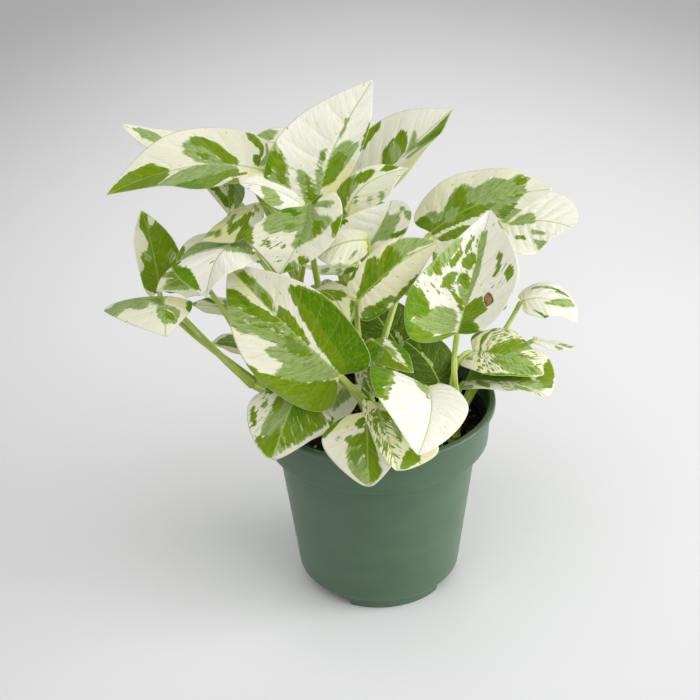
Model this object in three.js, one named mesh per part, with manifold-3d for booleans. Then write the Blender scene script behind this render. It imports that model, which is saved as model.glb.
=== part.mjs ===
// A variegated pothos: ten leafy cuttings in black potting mix, in a round nursery pot.
// Millimetres, +Z up, origin at the middle of the pot's flat underside, front towards -Y.
import * as THREE from 'three';
import { mergeVertices } from 'three/addons/utils/BufferGeometryUtils.js';
import Module from 'manifold-3d';

const wasm = await Module();
wasm.setup();

// Pot: a moulded pot of 108 mm across the lip
const RIM_R = 54;
const POT_HEIGHT = 94.5;
const LIP = 3;
const BAND_R = 51;
const BAND_Z = 75;
const NECK_R = 46;
const WALL_Z = 7;
const WALL_R = 38;
const FOOT_R = 34;
const WALL = 1.6;
const POT_SIDES = 40;

// Three raised notches between the feet, with a drain slot through the roof of each
const NOTCHES = 3;
const NOTCH_AT = -16;
const NOTCH_ARC = 44;
const NOTCH_HEIGHT = 5;
const NOTCH_IN = 25;
const SLOT_IN = 27;
const SLOT_OUT = 33;
const SLOT_WIDTH = 6;

// Potting mix, 0.3 mm clear of the pot all round
const CLEAR = 0.3;
const SOIL_Z = 77;
const SOIL_BUMP = 1.1;
const SOIL_RINGS = 5;

// Stems and stalks
const STEM_R = [2.6, 2.1];
const STEM_SIDES = 6;
const STEM_STEPS = 6;
const STALK_R = [1.7, 0.9];
const STALK_SIDES = 5;
const STALK_STEPS = 7;
const STALK_SET_BACK = 0.93;

// Blades
const BLADE_T = 0.8;
const BLADE_ACROSS = 4;
const BLADE_ALONG = 9;
const WIDEST = 0.32;

// Each cutting's stem is a cubic curve through the mix and up into the leaves.
const STEMS = {
  a: [[-30, -7, 60], [-34, -7, 84], [-42, -8, 100], [-55, -8, 106]],
  b: [[-18, 14, 60], [-19, 14, 90], [-26, 16, 118], [-34, 18, 142]],
  c: [[-6, 26, 60], [-6, 26, 90], [-12, 34, 116], [-14, 36, 138]],
  d: [[-12, 2, 60], [-13, 2, 84], [-18, 4, 106], [-20, 5, 128]],
  e: [[2, -28, 60], [2, -28, 76], [2, -31, 88], [0, -32, 98]],
  f: [[16, -22, 60], [16, -22, 74], [15, -25, 86], [13, -26, 96]],
  g: [[2, -6, 60], [1, -6, 78], [-2, -8, 94], [-5, -12, 108]],
  h: [[32, -12, 60], [33, -12, 74], [36, -14, 86], [37, -14, 96]],
  i: [[28, 16, 60], [28, 16, 84], [28, 22, 106], [30, 26, 124]],
  j: [[6, 38, 60], [6, 38, 84], [6, 48, 106], [8, 50, 122]],
};

const CREAM = 0xe6e8c8;
const MIXED = 0xb4c890;
const GREEN = 0x6f9c30;
const STALK_GREEN = 0x8fae4c;

// One row for each blade, by stem. Seen from its upper face with the tip up, the points are
// the stalk's end, the middle of the midrib, the tip, and the widest left and right edge.
// Then come the cupping across in degrees, the fullness of the outline, the place on the
// stem where the stalk starts, from 0 to 1, and the leading colour.
const BLADES = {
  a: [
    [[-98, 24, 138], [-100, 26, 157], [-104, 32, 174], [-106, 16, 156], [-88, 32, 150], 20, 0.82, 0.8, GREEN],
    [[-75, 6, 149], [-85, 6, 152], [-96, 2, 148], [-82, -4, 148], [-84, 16, 155], -20, 0.85, 0.9, MIXED],
    [[-91, -5, 149], [-89, -22, 153], [-87, -38, 147], [-78, -16, 150], [-116, -18, 150], -20, 0.8, 1, CREAM],
    [[-62, 22, 129], [-73, 24, 129], [-84, 23, 131], [-72, 18, 128], [-73, 30, 131], 10, 0.9, 0.6, CREAM],
    [[-56, 8, 115], [-66, 12, 117], [-76, 15, 114], [-62, 2, 116], [-64, 20, 117], 10, 0.9, 0.5, GREEN],
  ],
  b: [
    [[-49, 35, 191], [-81, 33, 194], [-117, 22, 186], [-70, 12, 193], [-75, 52, 206], 20, 0.92, 1, MIXED],
    [[-79, 75, 186], [-99, 72, 193], [-116, 68, 202], [-93, 62, 187], [-92, 82, 192], 20, 0.9, 0.8, GREEN],
    [[-68, 42, 190], [-66, 44, 178], [-66, 46, 164], [-58, 38, 183], [-77, 46, 182], 20, 0.9, 0.9, GREEN],
    [[-29, 9, 184], [-43, 8, 193], [-57, 6, 197], [-40, -4, 189], [-42, 19, 192], 20, 0.85, 1, CREAM],
    [[-49, 16, 183], [-60, 12, 178], [-75, 8, 170], [-56, 2, 173], [-62, 22, 177], 10, 0.9, 0.9, MIXED],
    [[-51, -6, 170], [-63, -20, 177], [-69, -38, 165], [-54, -28, 173], [-83, -16, 171], -10, 0.9, 0.7, CREAM],
    [[-55, 20, 163], [-74, 17, 163], [-87, 9, 157], [-70, 5, 162], [-75, 28, 164], -20, 0.85, 0.6, MIXED],
  ],
  c: [
    [[-25, 28, 178], [-16, 38, 202], [1, 50, 227], [-47, 34, 197], [-5, 36, 198], 25, 0.96, 1, CREAM],
    [[-24, 64, 188], [-40, 66, 191], [-57, 68, 193], [-36, 56, 187], [-37, 76, 196], 10, 0.9, 0.9, MIXED],
    [[-13, 45, 166], [10, 50, 188], [37, 58, 210], [-2, 62, 199], [18, 40, 189], 20, 1, 1, MIXED],
    [[-12, 18, 173], [-4, 24, 187], [16, 29, 193], [-13, 30, 187], [6, 16, 185], 30, 0.9, 0.8, CREAM],
    [[-7, 54, 158], [-3, 68, 172], [-1, 86, 180], [-20, 73, 167], [6, 68, 167], -15, 0.85, 0.7, MIXED],
  ],
  d: [
    [[-28, -6, 191], [-31, -15, 180], [-40, -22, 167], [-13, -18, 189], [-55, -14, 183], -20, 0.9, 1, MIXED],
    [[-4, 0, 166], [4, 6, 178], [8, 10, 186], [-17, 2, 177], [15, -4, 180], 10, 0.8, 0.9, CREAM],
    [[-3, -6, 175], [-14, -12, 176], [-24, -16, 172], [-12, -20, 169], [-14, -4, 179], 10, 0.8, 0.8, CREAM],
    [[-9, 12, 154], [-20, 9, 155], [-32, 6, 158], [-17, 1, 155], [-18, 18, 152], 10, 0.9, 0.8, CREAM],
    [[-27, -15, 155], [-18, -18, 154], [-12, -22, 142], [-12, -8, 156], [-25, -26, 148], 10, 0.85, 0.9, MIXED],
  ],
  e: [
    [[-15, -45, 131], [-39, -37, 153], [-61, -18, 169], [-47, -52, 132], [-16, -38, 160], 25, 0.8, 1, MIXED],
    [[-25, -36, 128], [-34, -46, 121], [-44, -56, 97], [-18, -47, 110], [-53, -42, 118], -20, 0.72, 0.8, GREEN],
    [[-13, -26, 115], [-22, -31, 104], [-34, -44, 97], [-11, -30, 104], [-28, -24, 102], 0, 0.8, 0.6, CREAM],
  ],
  f: [
    [[-4, -52, 118], [-4, -63, 111], [-4, -70, 92], [9, -62, 108], [-23, -60, 109], 10, 0.72, 0.8, CREAM],
    [[0, -52, 121], [4, -67, 115], [8, -78, 105], [25, -63, 109], [-4, -67, 121], 0, 0.7, 0.9, MIXED],
    [[21, -38, 121], [22, -64, 124], [16, -87, 118], [38, -53, 121], [-3, -56, 138], -20, 0.8, 1, CREAM],
    [[-1, -20, 134], [6, -24, 130], [16, -30, 123], [11, -16, 129], [-3, -28, 129], 10, 0.85, 0.9, GREEN],
    [[-5, -22, 125], [-5, -28, 119], [1, -32, 112], [-1, -31, 123], [-9, -24, 119], 10, 0.85, 0.8, CREAM],
  ],
  g: [
    [[-7, -30, 158], [9, -24, 171], [27, -14, 177], [-1, -18, 175], [9, -34, 159], -20, 0.85, 1, MIXED],
    [[12, 14, 109], [4, 18, 121], [-6, 22, 134], [-8, 12, 120], [18, 24, 123], 10, 0.8, 0.5, GREEN],
    [[29, -5, 101], [23, 0, 112], [13, 5, 120], [11, -8, 111], [34, 8, 113], 10, 0.8, 0.6, GREEN],
    [[26, 40, 157], [51, 46, 169], [82, 48, 174], [38, 64, 175], [47, 22, 161], 20, 0.78, 0.9, MIXED],
  ],
  h: [
    [[34, -38, 146], [40, -27, 164], [49, -8, 189], [12, -44, 163], [58, -36, 169], 20, 0.95, 1, MIXED],
    [[44, 10, 111], [60, 6, 110], [76, 2, 103], [60, 26, 114], [48, -10, 111], -15, 0.72, 0.8, MIXED],
    [[40, 0, 101], [60, -2, 102], [77, -5, 95], [70, 22, 106], [55, -14, 105], 0, 0.7, 0.6, GREEN],
    [[69, 40, 121], [83, 42, 120], [94, 36, 111], [85, 54, 123], [79, 28, 118], -10, 0.8, 0.6, CREAM],
    [[75, 30, 106], [85, 30, 103], [94, 30, 102], [83, 38, 101], [81, 22, 105], 0, 0.9, 0.5, CREAM],
  ],
  i: [
    [[59, 52, 155], [78, 58, 154], [93, 56, 151], [80, 76, 163], [72, 38, 146], 15, 0.75, 0.9, CREAM],
    [[30, 64, 142], [38, 78, 138], [44, 92, 124], [54, 70, 134], [22, 82, 132], -15, 0.85, 0.8, GREEN],
    [[36, 52, 120], [50, 60, 118], [62, 68, 108], [58, 44, 114], [40, 72, 114], -15, 0.85, 0.7, CREAM],
  ],
  j: [
    [[-25, 62, 148], [-33, 76, 144], [-39, 88, 130], [-13, 78, 138], [-49, 68, 140], -15, 0.85, 0.9, MIXED],
    [[-8, 66, 160], [-8, 82, 158], [-8, 98, 146], [10, 80, 154], [-26, 78, 156], -15, 0.85, 1, CREAM],
    [[-18, 60, 120], [-24, 76, 116], [-28, 90, 104], [-8, 78, 112], [-40, 70, 112], -15, 0.85, 0.7, GREEN],
    [[12, 62, 116], [16, 78, 112], [20, 92, 100], [32, 72, 108], [0, 80, 108], -15, 0.85, 0.8, MIXED],
  ],
};

// The stalks that don't follow the common rule, by the two inner points of their curve.
const STALK_BENDS = {
  leaf_a1: [[-70, -2, 120], [-96, 14, 128]],
  leaf_a3: [[-64, -8, 114], [-86, -4, 140]],
  leaf_c2: [[-20, 44, 150], [-22, 60, 168]],
  leaf_d1: [[-24, -8, 146], [-28, 0, 172]],
  leaf_d2: [[-6, 0, 138], [-4, 0, 150]],
  leaf_d3: [[-10, -8, 142], [-2, -10, 160]],
  leaf_e1: [[-2, -34, 112], [-8, -44, 122]],
  leaf_e2: [[-4, -36, 112], [-13, -37, 127]],
  leaf_e3: [[-4, -24, 102], [-13, -19, 114]],
  leaf_g1: [[-7, -12, 124], [-8, -22, 140]],
  leaf_g4: [[4, -12, 126], [10, 2, 158]],
  leaf_h1: [[34, -22, 108], [32, -34, 128]],
  leaf_h2: [[31, -10, 103], [35, 4, 114]],
  leaf_h4: [[40, 4, 96], [58, 36, 100]],
  leaf_h5: [[40, 2, 96], [58, 28, 100]],
};

const vec = (p) => new THREE.Vector3(...p);
const positions = (points) => new THREE.Float32BufferAttribute(points.flatMap((p) => p.toArray()), 3);

// Closed body of a grid of points: rows of equal length, with one point at each end
function closedGrid(first, rows, last) {
  const n = rows[0].length;
  const points = [first, ...rows.flat(), last];
  const index = [];
  const at = (row, k) => 1 + row * n + (k % n);
  const end = points.length - 1;
  for (let k = 0; k < n; k += 1) {
    index.push(0, at(0, k + 1), at(0, k));
    index.push(end, at(rows.length - 1, k), at(rows.length - 1, k + 1));
    for (let row = 0; row < rows.length - 1; row += 1) {
      index.push(at(row, k), at(row, k + 1), at(row + 1, k + 1));
      index.push(at(row, k), at(row + 1, k + 1), at(row + 1, k));
    }
  }
  const geometry = new THREE.BufferGeometry();
  geometry.setAttribute('position', positions(points));
  geometry.setIndex(index);
  return geometry;
}

function solid(geometry) {
  const bare = geometry.clone();
  bare.deleteAttribute('normal');
  bare.deleteAttribute('uv');
  const merged = mergeVertices(bare);
  return new wasm.Manifold(new wasm.Mesh({
    numProp: 3,
    vertProperties: new Float32Array(merged.attributes.position.array),
    triVerts: new Uint32Array(merged.index.array),
  }));
}

function geometryOf(body) {
  const mesh = body.getMesh();
  const geometry = new THREE.BufferGeometry();
  geometry.setAttribute('position', new THREE.BufferAttribute(mesh.vertProperties, 3));
  geometry.setIndex(new THREE.BufferAttribute(mesh.triVerts, 1));
  return geometry;
}

function lathe(profile, sides) {
  const turned = new THREE.LatheGeometry(profile.map(([r, z]) => new THREE.Vector2(r, z)), sides);
  turned.rotateX(Math.PI / 2);
  return solid(turned);
}

const plant = new THREE.Group();

function add(name, geometry, color, roughness) {
  const material = new THREE.MeshStandardMaterial({ color, roughness, metalness: 0 });
  const mesh = new THREE.Mesh(geometry, material);
  mesh.name = name;
  plant.add(mesh);
}

// Prism over a sector of a ring, for a notch
function sector(inner, outer, arc, low, high) {
  const half = THREE.MathUtils.degToRad(arc / 2);
  const shape = new THREE.Shape();
  shape.absarc(0, 0, outer, -half, half, false);
  shape.absarc(0, 0, inner, half, -half, true);
  const options = { depth: high - low, bevelEnabled: false, curveSegments: 8 };
  const prism = new THREE.ExtrudeGeometry(shape, options);
  prism.translate(0, 0, low);
  return prism;
}

// The notches as one cutter, grown on every side by a margin
function notches(margin) {
  const spread = THREE.MathUtils.radToDeg(2 * margin / WALL_R);
  let cutter;
  for (let k = 0; k < NOTCHES; k += 1) {
    const one = sector(NOTCH_IN - margin, RIM_R, NOTCH_ARC + spread, -LIP, NOTCH_HEIGHT + margin);
    one.rotateZ(THREE.MathUtils.degToRad(NOTCH_AT + (k * 360) / NOTCHES));
    cutter = cutter ? cutter.add(solid(one)) : solid(one);
  }
  return cutter;
}

function pot() {
  const outer = lathe([
    [0, 0], [FOOT_R, 0], [FOOT_R + 1, NOTCH_HEIGHT], [WALL_R, WALL_Z], [NECK_R, BAND_Z - 1],
    [BAND_R, BAND_Z], [BAND_R + 1, POT_HEIGHT - LIP], [RIM_R, POT_HEIGHT - LIP + 1],
    [RIM_R, POT_HEIGHT - 1], [RIM_R - 1, POT_HEIGHT], [0, POT_HEIGHT],
  ], POT_SIDES);
  const inner = lathe([
    [0, WALL], [FOOT_R - WALL, WALL], [WALL_R - WALL, WALL_Z], [NECK_R - WALL, BAND_Z],
    [BAND_R - WALL, BAND_Z + 2], [RIM_R - LIP, POT_HEIGHT - LIP], [RIM_R - LIP, POT_HEIGHT + 1],
    [0, POT_HEIGHT + 1],
  ], POT_SIDES);
  let shell = outer.subtract(notches(0)).subtract(inner.subtract(notches(WALL)));
  for (let k = 0; k < NOTCHES; k += 1) {
    const slot = new THREE.BoxGeometry(SLOT_OUT - SLOT_IN, SLOT_WIDTH, 4 * WALL);
    slot.translate((SLOT_IN + SLOT_OUT) / 2, 0, NOTCH_HEIGHT + WALL / 2);
    slot.rotateZ(THREE.MathUtils.degToRad(NOTCH_AT + (k * 360) / NOTCHES));
    shell = shell.subtract(solid(slot));
  }
  return shell;
}

// Tube of changing radius along a curve, closed at both ends
function tube(curve, [startR, endR], sides, steps) {
  const frames = curve.computeFrenetFrames(steps, false);
  const rows = [];
  for (let i = 0; i <= steps; i += 1) {
    const centre = curve.getPointAt(i / steps);
    const radius = startR + ((endR - startR) * i) / steps;
    const ring = [];
    for (let k = 0; k < sides; k += 1) {
      const turn = (2 * Math.PI * k) / sides;
      ring.push(centre.clone()
        .addScaledVector(frames.normals[i], radius * Math.cos(turn))
        .addScaledVector(frames.binormals[i], radius * Math.sin(turn)));
    }
    rows.push(ring);
  }
  return solid(closedGrid(curve.getPointAt(0), rows, curve.getPointAt(1)));
}

// Blade surface. u runs from -1 to 1 across it, v from 0 at the stalk to 1 at the tip. The
// midrib is a parabola. Each half hangs from it along a lateral vein that leans to the tip,
// bent into an arc, and the sine outline is pulled back beside the stalk into two lobes.
function bladePoint([base, middle, tip, left, right, curl, fullness], u, v) {
  const foot = vec(base);
  const end = vec(tip);
  const lift = vec(middle).multiplyScalar(2).addScaledVector(foot, -0.5).addScaledVector(end, -0.5);
  const rib = (t) => {
    const on = Math.max(t, 0);
    const point = foot.clone().multiplyScalar((1 - on) ** 2)
      .addScaledVector(lift, 2 * on * (1 - on))
      .addScaledVector(end, on * on);
    return point.addScaledVector(lift.clone().sub(foot), 2 * Math.min(t, 0));
  };
  const heading = (t) => lift.clone().sub(foot).multiplyScalar(1 - Math.max(t, 0))
    .addScaledVector(end.clone().sub(lift), Math.max(t, 0))
    .normalize();
  const across = Math.max(Math.sin(Math.PI * v ** 0.84), 0) ** fullness;
  const edgeAlong = v ** 1.22 - 2.4 * v * (1 - v) ** 5;
  const f = Math.abs(u);
  const t = v ** 1.9 + (edgeAlong - v ** 1.9) * f ** 1.4;
  const ahead = heading(t);
  const out = vec(u < 0 ? left : right).sub(rib(WIDEST));
  const lean = out.dot(heading(WIDEST));
  const width = Math.sqrt(out.lengthSq() - lean ** 2) * across;
  const side = out.addScaledVector(ahead, -out.dot(ahead)).normalize();
  const up = side.clone().cross(ahead).multiplyScalar(u < 0 ? -1 : 1);
  const turn = THREE.MathUtils.degToRad(curl) * across + 1e-4;
  const swing = (f - 0.5) * turn;
  return rib(t)
    .addScaledVector(ahead, lean * across * f)
    .addScaledVector(side, (width * (Math.sin(swing) + Math.sin(turn / 2))) / turn)
    .addScaledVector(up, (width * (Math.cos(turn / 2) - Math.cos(swing))) / turn);
}

// Blade as a thin body: its surface moved half the thickness up and down along its normals,
// with the same triangles on both faces
function blade(row) {
  const columns = BLADE_ACROSS + 1;
  const points = [bladePoint(row, 0, 0)];
  for (let i = 1; i < BLADE_ALONG; i += 1) {
    for (let k = 0; k < columns; k += 1) {
      points.push(bladePoint(row, (2 * k) / BLADE_ACROSS - 1, i / BLADE_ALONG));
    }
  }
  points.push(bladePoint(row, 0, 1));
  const at = (i, k) => 1 + (i - 1) * columns + k;
  const tip = points.length - 1;
  const faces = [];
  for (let k = 0; k < BLADE_ACROSS; k += 1) {
    faces.push([0, at(1, k + 1), at(1, k)]);
    faces.push([tip, at(BLADE_ALONG - 1, k), at(BLADE_ALONG - 1, k + 1)]);
    for (let i = 1; i < BLADE_ALONG - 1; i += 1) {
      faces.push([at(i, k), at(i, k + 1), at(i + 1, k + 1)]);
      faces.push([at(i, k), at(i + 1, k + 1), at(i + 1, k)]);
    }
  }
  const rim = [0];
  for (let i = 1; i < BLADE_ALONG; i += 1) rim.push(at(i, BLADE_ACROSS));
  rim.push(tip);
  for (let i = BLADE_ALONG - 1; i > 0; i -= 1) rim.push(at(i, 0));

  const middle = new THREE.BufferGeometry();
  middle.setAttribute('position', positions(points));
  middle.setIndex(faces.flat());
  middle.computeVertexNormals();
  const normals = middle.attributes.normal;
  const count = points.length;
  const shifted = (sign) => points.map((p, i) => p.clone()
    .addScaledVector(new THREE.Vector3().fromBufferAttribute(normals, i), (sign * BLADE_T) / 2));
  const index = faces.flatMap(([a, b, c]) => [a, b, c, a + count, c + count, b + count]);
  rim.forEach((a, i) => {
    const b = rim[(i + 1) % rim.length];
    index.push(a, a + count, b, b, a + count, b + count);
  });
  const body = new THREE.BufferGeometry();
  body.setAttribute('position', positions([...shifted(1), ...shifted(-1)]));
  body.setIndex(index);
  return body;
}

// Stalk from its place on the stem to just under the blade, which it meets from behind
function stalk(stem, row, bend) {
  const [base, middle, tip, left, right, , , start] = row;
  const foot = stem.getPointAt(start);
  const ahead = vec(middle).sub(vec(base)).normalize();
  const up = vec(right).sub(vec(left)).cross(vec(tip).sub(vec(base))).normalize();
  const back = up.clone().add(ahead).setLength(STALK_SET_BACK);
  const end = vec(base).sub(back);
  const reach = end.distanceTo(foot);
  const leaving = new THREE.Vector3(end.x - foot.x, end.y - foot.y, 0).normalize().multiplyScalar(0.4);
  leaving.z = 1;
  const first = bend ? vec(bend[0]) : foot.clone().addScaledVector(leaving.normalize(), 0.4 * reach);
  const second = bend ? vec(bend[1]) : end.clone()
    .addScaledVector(up.multiplyScalar(0.8).addScaledVector(ahead, 0.5), -0.3 * reach);
  return new THREE.CubicBezierCurve3(foot, first, second, end);
}

const stemCurve = (key) => new THREE.CubicBezierCurve3(...STEMS[key].map(vec));

// Potting mix: a turned body inside the pot with a lumpy top, over the notches, with a
// plain hole for each stem
function soil() {
  const wall = [
    [BAND_R - WALL - CLEAR, SOIL_Z + 1], [NECK_R - WALL - CLEAR, BAND_Z + CLEAR],
    [WALL_R - WALL - CLEAR, WALL_Z], [FOOT_R - WALL - CLEAR, WALL + CLEAR],
  ];
  const top = wall[0][0];
  const ring = (radius, height, bump) => {
    const points = [];
    for (let k = 0; k < POT_SIDES; k += 1) {
      const turn = (-2 * Math.PI * k) / POT_SIDES;
      const x = radius * Math.cos(turn);
      const y = radius * Math.sin(turn);
      points.push(new THREE.Vector3(x, y, height + bump * lumps(x, y)));
    }
    return points;
  };
  const rows = [];
  for (let i = 1; i < SOIL_RINGS; i += 1) rows.push(ring((top * i) / SOIL_RINGS, SOIL_Z, SOIL_BUMP));
  wall.forEach(([radius, height]) => rows.push(ring(radius, height, 0)));
  const body = solid(closedGrid(
    new THREE.Vector3(0, 0, SOIL_Z + SOIL_BUMP * lumps(0, 0)),
    rows,
    new THREE.Vector3(0, 0, WALL + CLEAR),
  ));
  return Object.keys(STEMS).reduce(
    (rest, key) => rest.subtract(tube(stemCurve(key), STEM_R.map((r) => r + CLEAR), STEM_SIDES, STEM_STEPS)),
    body.subtract(notches(WALL + CLEAR)),
  );
}

// Height of the lumps from -1 to 1: three crossing waves
function lumps(x, y) {
  const waves = [[0.31, 0.12, 0], [-0.16, 0.27, 2], [0.4, -0.33, 4]];
  return waves.reduce((sum, [a, b, phase]) => sum + Math.sin(a * x + b * y + phase), 0) / waves.length;
}

add('pot', geometryOf(pot()), 0x567362, 0.4);
add('soil', geometryOf(soil()), 0x1d1813, 1);
for (const [key, rows] of Object.entries(BLADES)) {
  const stem = stemCurve(key);
  let vine = tube(stem, STEM_R, STEM_SIDES, STEM_STEPS);
  rows.forEach((row, i) => {
    const name = `leaf_${key}${i + 1}`;
    const path = stalk(stem, row, STALK_BENDS[name]);
    vine = vine.add(tube(path, STALK_R, STALK_SIDES, STALK_STEPS));
    add(name, blade(row), row[8], 0.45);
  });
  add(`vine_${key}`, geometryOf(vine), STALK_GREEN, 0.5);
}

export default plant;
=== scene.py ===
# A variegated pothos in a round nursery pot: ten leafy cuttings in black potting mix.
# Sizes are in millimetres and become metres where a mesh is made. The pot stands on z = 0,
# x runs to the right and y away from the viewer.
import math

import bpy
import numpy as np
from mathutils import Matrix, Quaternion, Vector


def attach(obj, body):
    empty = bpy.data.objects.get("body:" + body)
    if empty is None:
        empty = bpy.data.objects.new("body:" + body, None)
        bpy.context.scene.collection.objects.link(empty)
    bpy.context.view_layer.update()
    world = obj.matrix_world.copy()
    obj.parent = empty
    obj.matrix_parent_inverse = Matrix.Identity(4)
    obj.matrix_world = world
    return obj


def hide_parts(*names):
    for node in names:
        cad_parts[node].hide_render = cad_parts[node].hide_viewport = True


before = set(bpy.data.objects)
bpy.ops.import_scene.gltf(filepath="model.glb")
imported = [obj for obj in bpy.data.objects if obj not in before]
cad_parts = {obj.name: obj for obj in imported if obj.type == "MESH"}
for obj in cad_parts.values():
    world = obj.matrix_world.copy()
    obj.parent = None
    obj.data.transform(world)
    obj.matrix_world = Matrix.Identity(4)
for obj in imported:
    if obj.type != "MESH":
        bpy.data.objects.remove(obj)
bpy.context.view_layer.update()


# Pot
# A thin injection-moulded nursery pot of satin green plastic: a rolled lip, a tall rim band,
# a tapered wall and a foot ring that three raised notches break, each with a drain slot.
RIM_R, POT_HEIGHT, LIP = 54, 94.5, 3
BAND_R, BAND_Z = 51, 75
NECK_R = 46
WALL_R, WALL_Z = 38, 7
FOOT_R = 34
WALL = 1.6
NOTCHES, NOTCH_AT, NOTCH_ARC = 3, -16, 44
NOTCH_HEIGHT, NOTCH_IN = 5, 25
NOTCH_DRAFT = 1.2
SLOT_IN, SLOT_OUT, SLOT_HALF_ARC = 27, 32, 6
POT_COLUMNS = 240
PROFILE_STEP = 2.5
POT_GREEN, POT_GREEN_PALE = (74, 101, 76), (79, 108, 82)
PLASTIC_DUST = (150, 160, 140)
NEAR_BLACK = (20, 17, 12)


def colour(rgb):
    """Screen colour from 0 to 255 as linear light: the standard power curve of each channel."""
    level = np.array(rgb) / 255
    linear = np.where(level > 0.04045, ((level + 0.055) / 1.055) ** 2.4, level / 12.92)
    return (*linear.tolist(), 1.0)


class Finish:
    """A material being made: each method adds one shader node and gives its output."""

    def __init__(self, name, **constants):
        self.material = bpy.data.materials.new(name)
        self.material.use_nodes = True
        self.tree = self.material.node_tree
        self.shader = self.tree.nodes["Principled BSDF"]
        for socket, value in constants.items():
            self.shader.inputs[socket.replace("_", " ")].default_value = value

    def join(self, socket, value):
        if isinstance(value, bpy.types.NodeSocket):
            self.tree.links.new(value, socket)
        else:
            socket.default_value = value

    def node(self, kind, inputs, output=0, **settings):
        made = self.tree.nodes.new(kind)
        for key, value in settings.items():
            setattr(made, key, value)
        for socket, value in inputs.items():
            self.join(made.inputs[socket], value)
        return made.outputs[output]

    def place(self):
        return self.node("ShaderNodeTexCoord", {}, "Object")

    def attribute(self, name, output="Vector"):
        return self.node("ShaderNodeAttribute", {}, output, attribute_name=name)

    def split(self, vector):
        made = self.tree.nodes.new("ShaderNodeSeparateXYZ")
        self.join(made.inputs[0], vector)
        return made.outputs

    def stretch(self, vector, scale):
        return self.node("ShaderNodeMapping", {"Vector": vector, "Scale": scale})

    def noise(self, vector, scale, detail=2.0, rough=0.5):
        inputs = {"Vector": vector, "Scale": scale, "Detail": detail, "Roughness": rough}
        return self.node("ShaderNodeTexNoise", inputs)

    def sum(self, kind, a, b=0.0, c=0.0):
        return self.node("ShaderNodeMath", {0: a, 1: b, 2: c}, operation=kind)

    def fade(self, value, start, end, low=0.0, high=1.0):
        inputs = {"Value": value, "From Min": start, "From Max": end, "To Min": low, "To Max": high}
        return self.node("ShaderNodeMapRange", inputs, interpolation_type="SMOOTHSTEP")

    def mix(self, share, a, b, blend="MIX"):
        inputs = {0: share, 6: a, 7: b}
        return self.node("ShaderNodeMix", inputs, 2, data_type="RGBA", blend_type=blend)

    def bump(self, height, depth, under=None):
        inputs = {"Height": height, "Strength": 1.0, "Distance": depth / 1000}
        if under:
            inputs["Normal"] = under
        return self.node("ShaderNodeBump", inputs)

    def finish(self, base, roughness, normal):
        self.join(self.shader.inputs["Base Color"], base)
        self.join(self.shader.inputs["Roughness"], roughness)
        self.join(self.shader.inputs["Normal"], normal)
        return self.material


def shell(grid, first, last):
    """Closed body of a grid of points. Each row of the grid is a ring seen turning to the left
    round the way from row to row, and one point closes each end."""
    rows, ring = grid.shape[:2]
    points = np.concatenate([[first], grid.reshape(-1, 3), [last]])
    row, k = np.meshgrid(np.arange(rows - 1), np.arange(ring), indexing="ij")
    beside = (k + 1) % ring
    here = 1 + row * ring
    quads = np.stack([here + k, here + beside, here + ring + beside, here + ring + k], -1)
    around = np.arange(ring)
    after = (around + 1) % ring
    start = np.stack([np.zeros(ring, int), 1 + after, 1 + around], -1)
    top = 1 + (rows - 1) * ring
    end = np.stack([np.full(ring, len(points) - 1), top + around, top + after], -1)
    return points, quads.reshape(-1, 4), np.concatenate([start, end])


def piece(name, bodies, material, slot, *nodes):
    """One mesh object of one or more closed bodies, in metres at the origin, smooth, riding on
    the frame's one body and standing for the CAD nodes named."""
    points, quads, triangles, offset = [], [], [], 0
    for body in bodies:
        points.append(body[0])
        quads.append(body[1] + offset)
        triangles.append(body[2] + offset)
        offset += len(body[0])
    points, quads, triangles = map(np.concatenate, (points, quads, triangles))
    mesh = bpy.data.meshes.new(name)
    mesh.vertices.add(len(points))
    mesh.vertices.foreach_set("co", (points / 1000).astype(np.float32).ravel())
    mesh.loops.add(quads.size + triangles.size)
    mesh.loops.foreach_set("vertex_index", np.concatenate([quads.ravel(), triangles.ravel()]))
    mesh.polygons.add(len(quads) + len(triangles))
    starts = [np.arange(len(quads)) * 4, quads.size + np.arange(len(triangles)) * 3]
    mesh.polygons.foreach_set("loop_start", np.concatenate(starts))
    mesh.update(calc_edges=True)
    mesh.shade_smooth()
    mesh.materials.append(material)
    made = bpy.data.objects.new(name, mesh)
    bpy.context.collection.objects.link(made)
    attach(made, "root")
    if nodes:
        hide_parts(*nodes)
    return made


def attribute(made, name, values):
    """Values kept on a piece's points, for its material to read."""
    kind = "FLOAT" if values.ndim == 1 else "FLOAT_VECTOR"
    field = "value" if values.ndim == 1 else "vector"
    kept = made.data.attributes.new(name, kind, "POINT")
    kept.data.foreach_set(field, values.astype(np.float32).ravel())


def smooth_step(value, start, end):
    """Rise from 0 at start to 1 at end on the cubic 3s^2 - 2s^3."""
    s = np.clip((value - start) / (end - start), 0, 1)
    return s * s * (3 - 2 * s)


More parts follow.
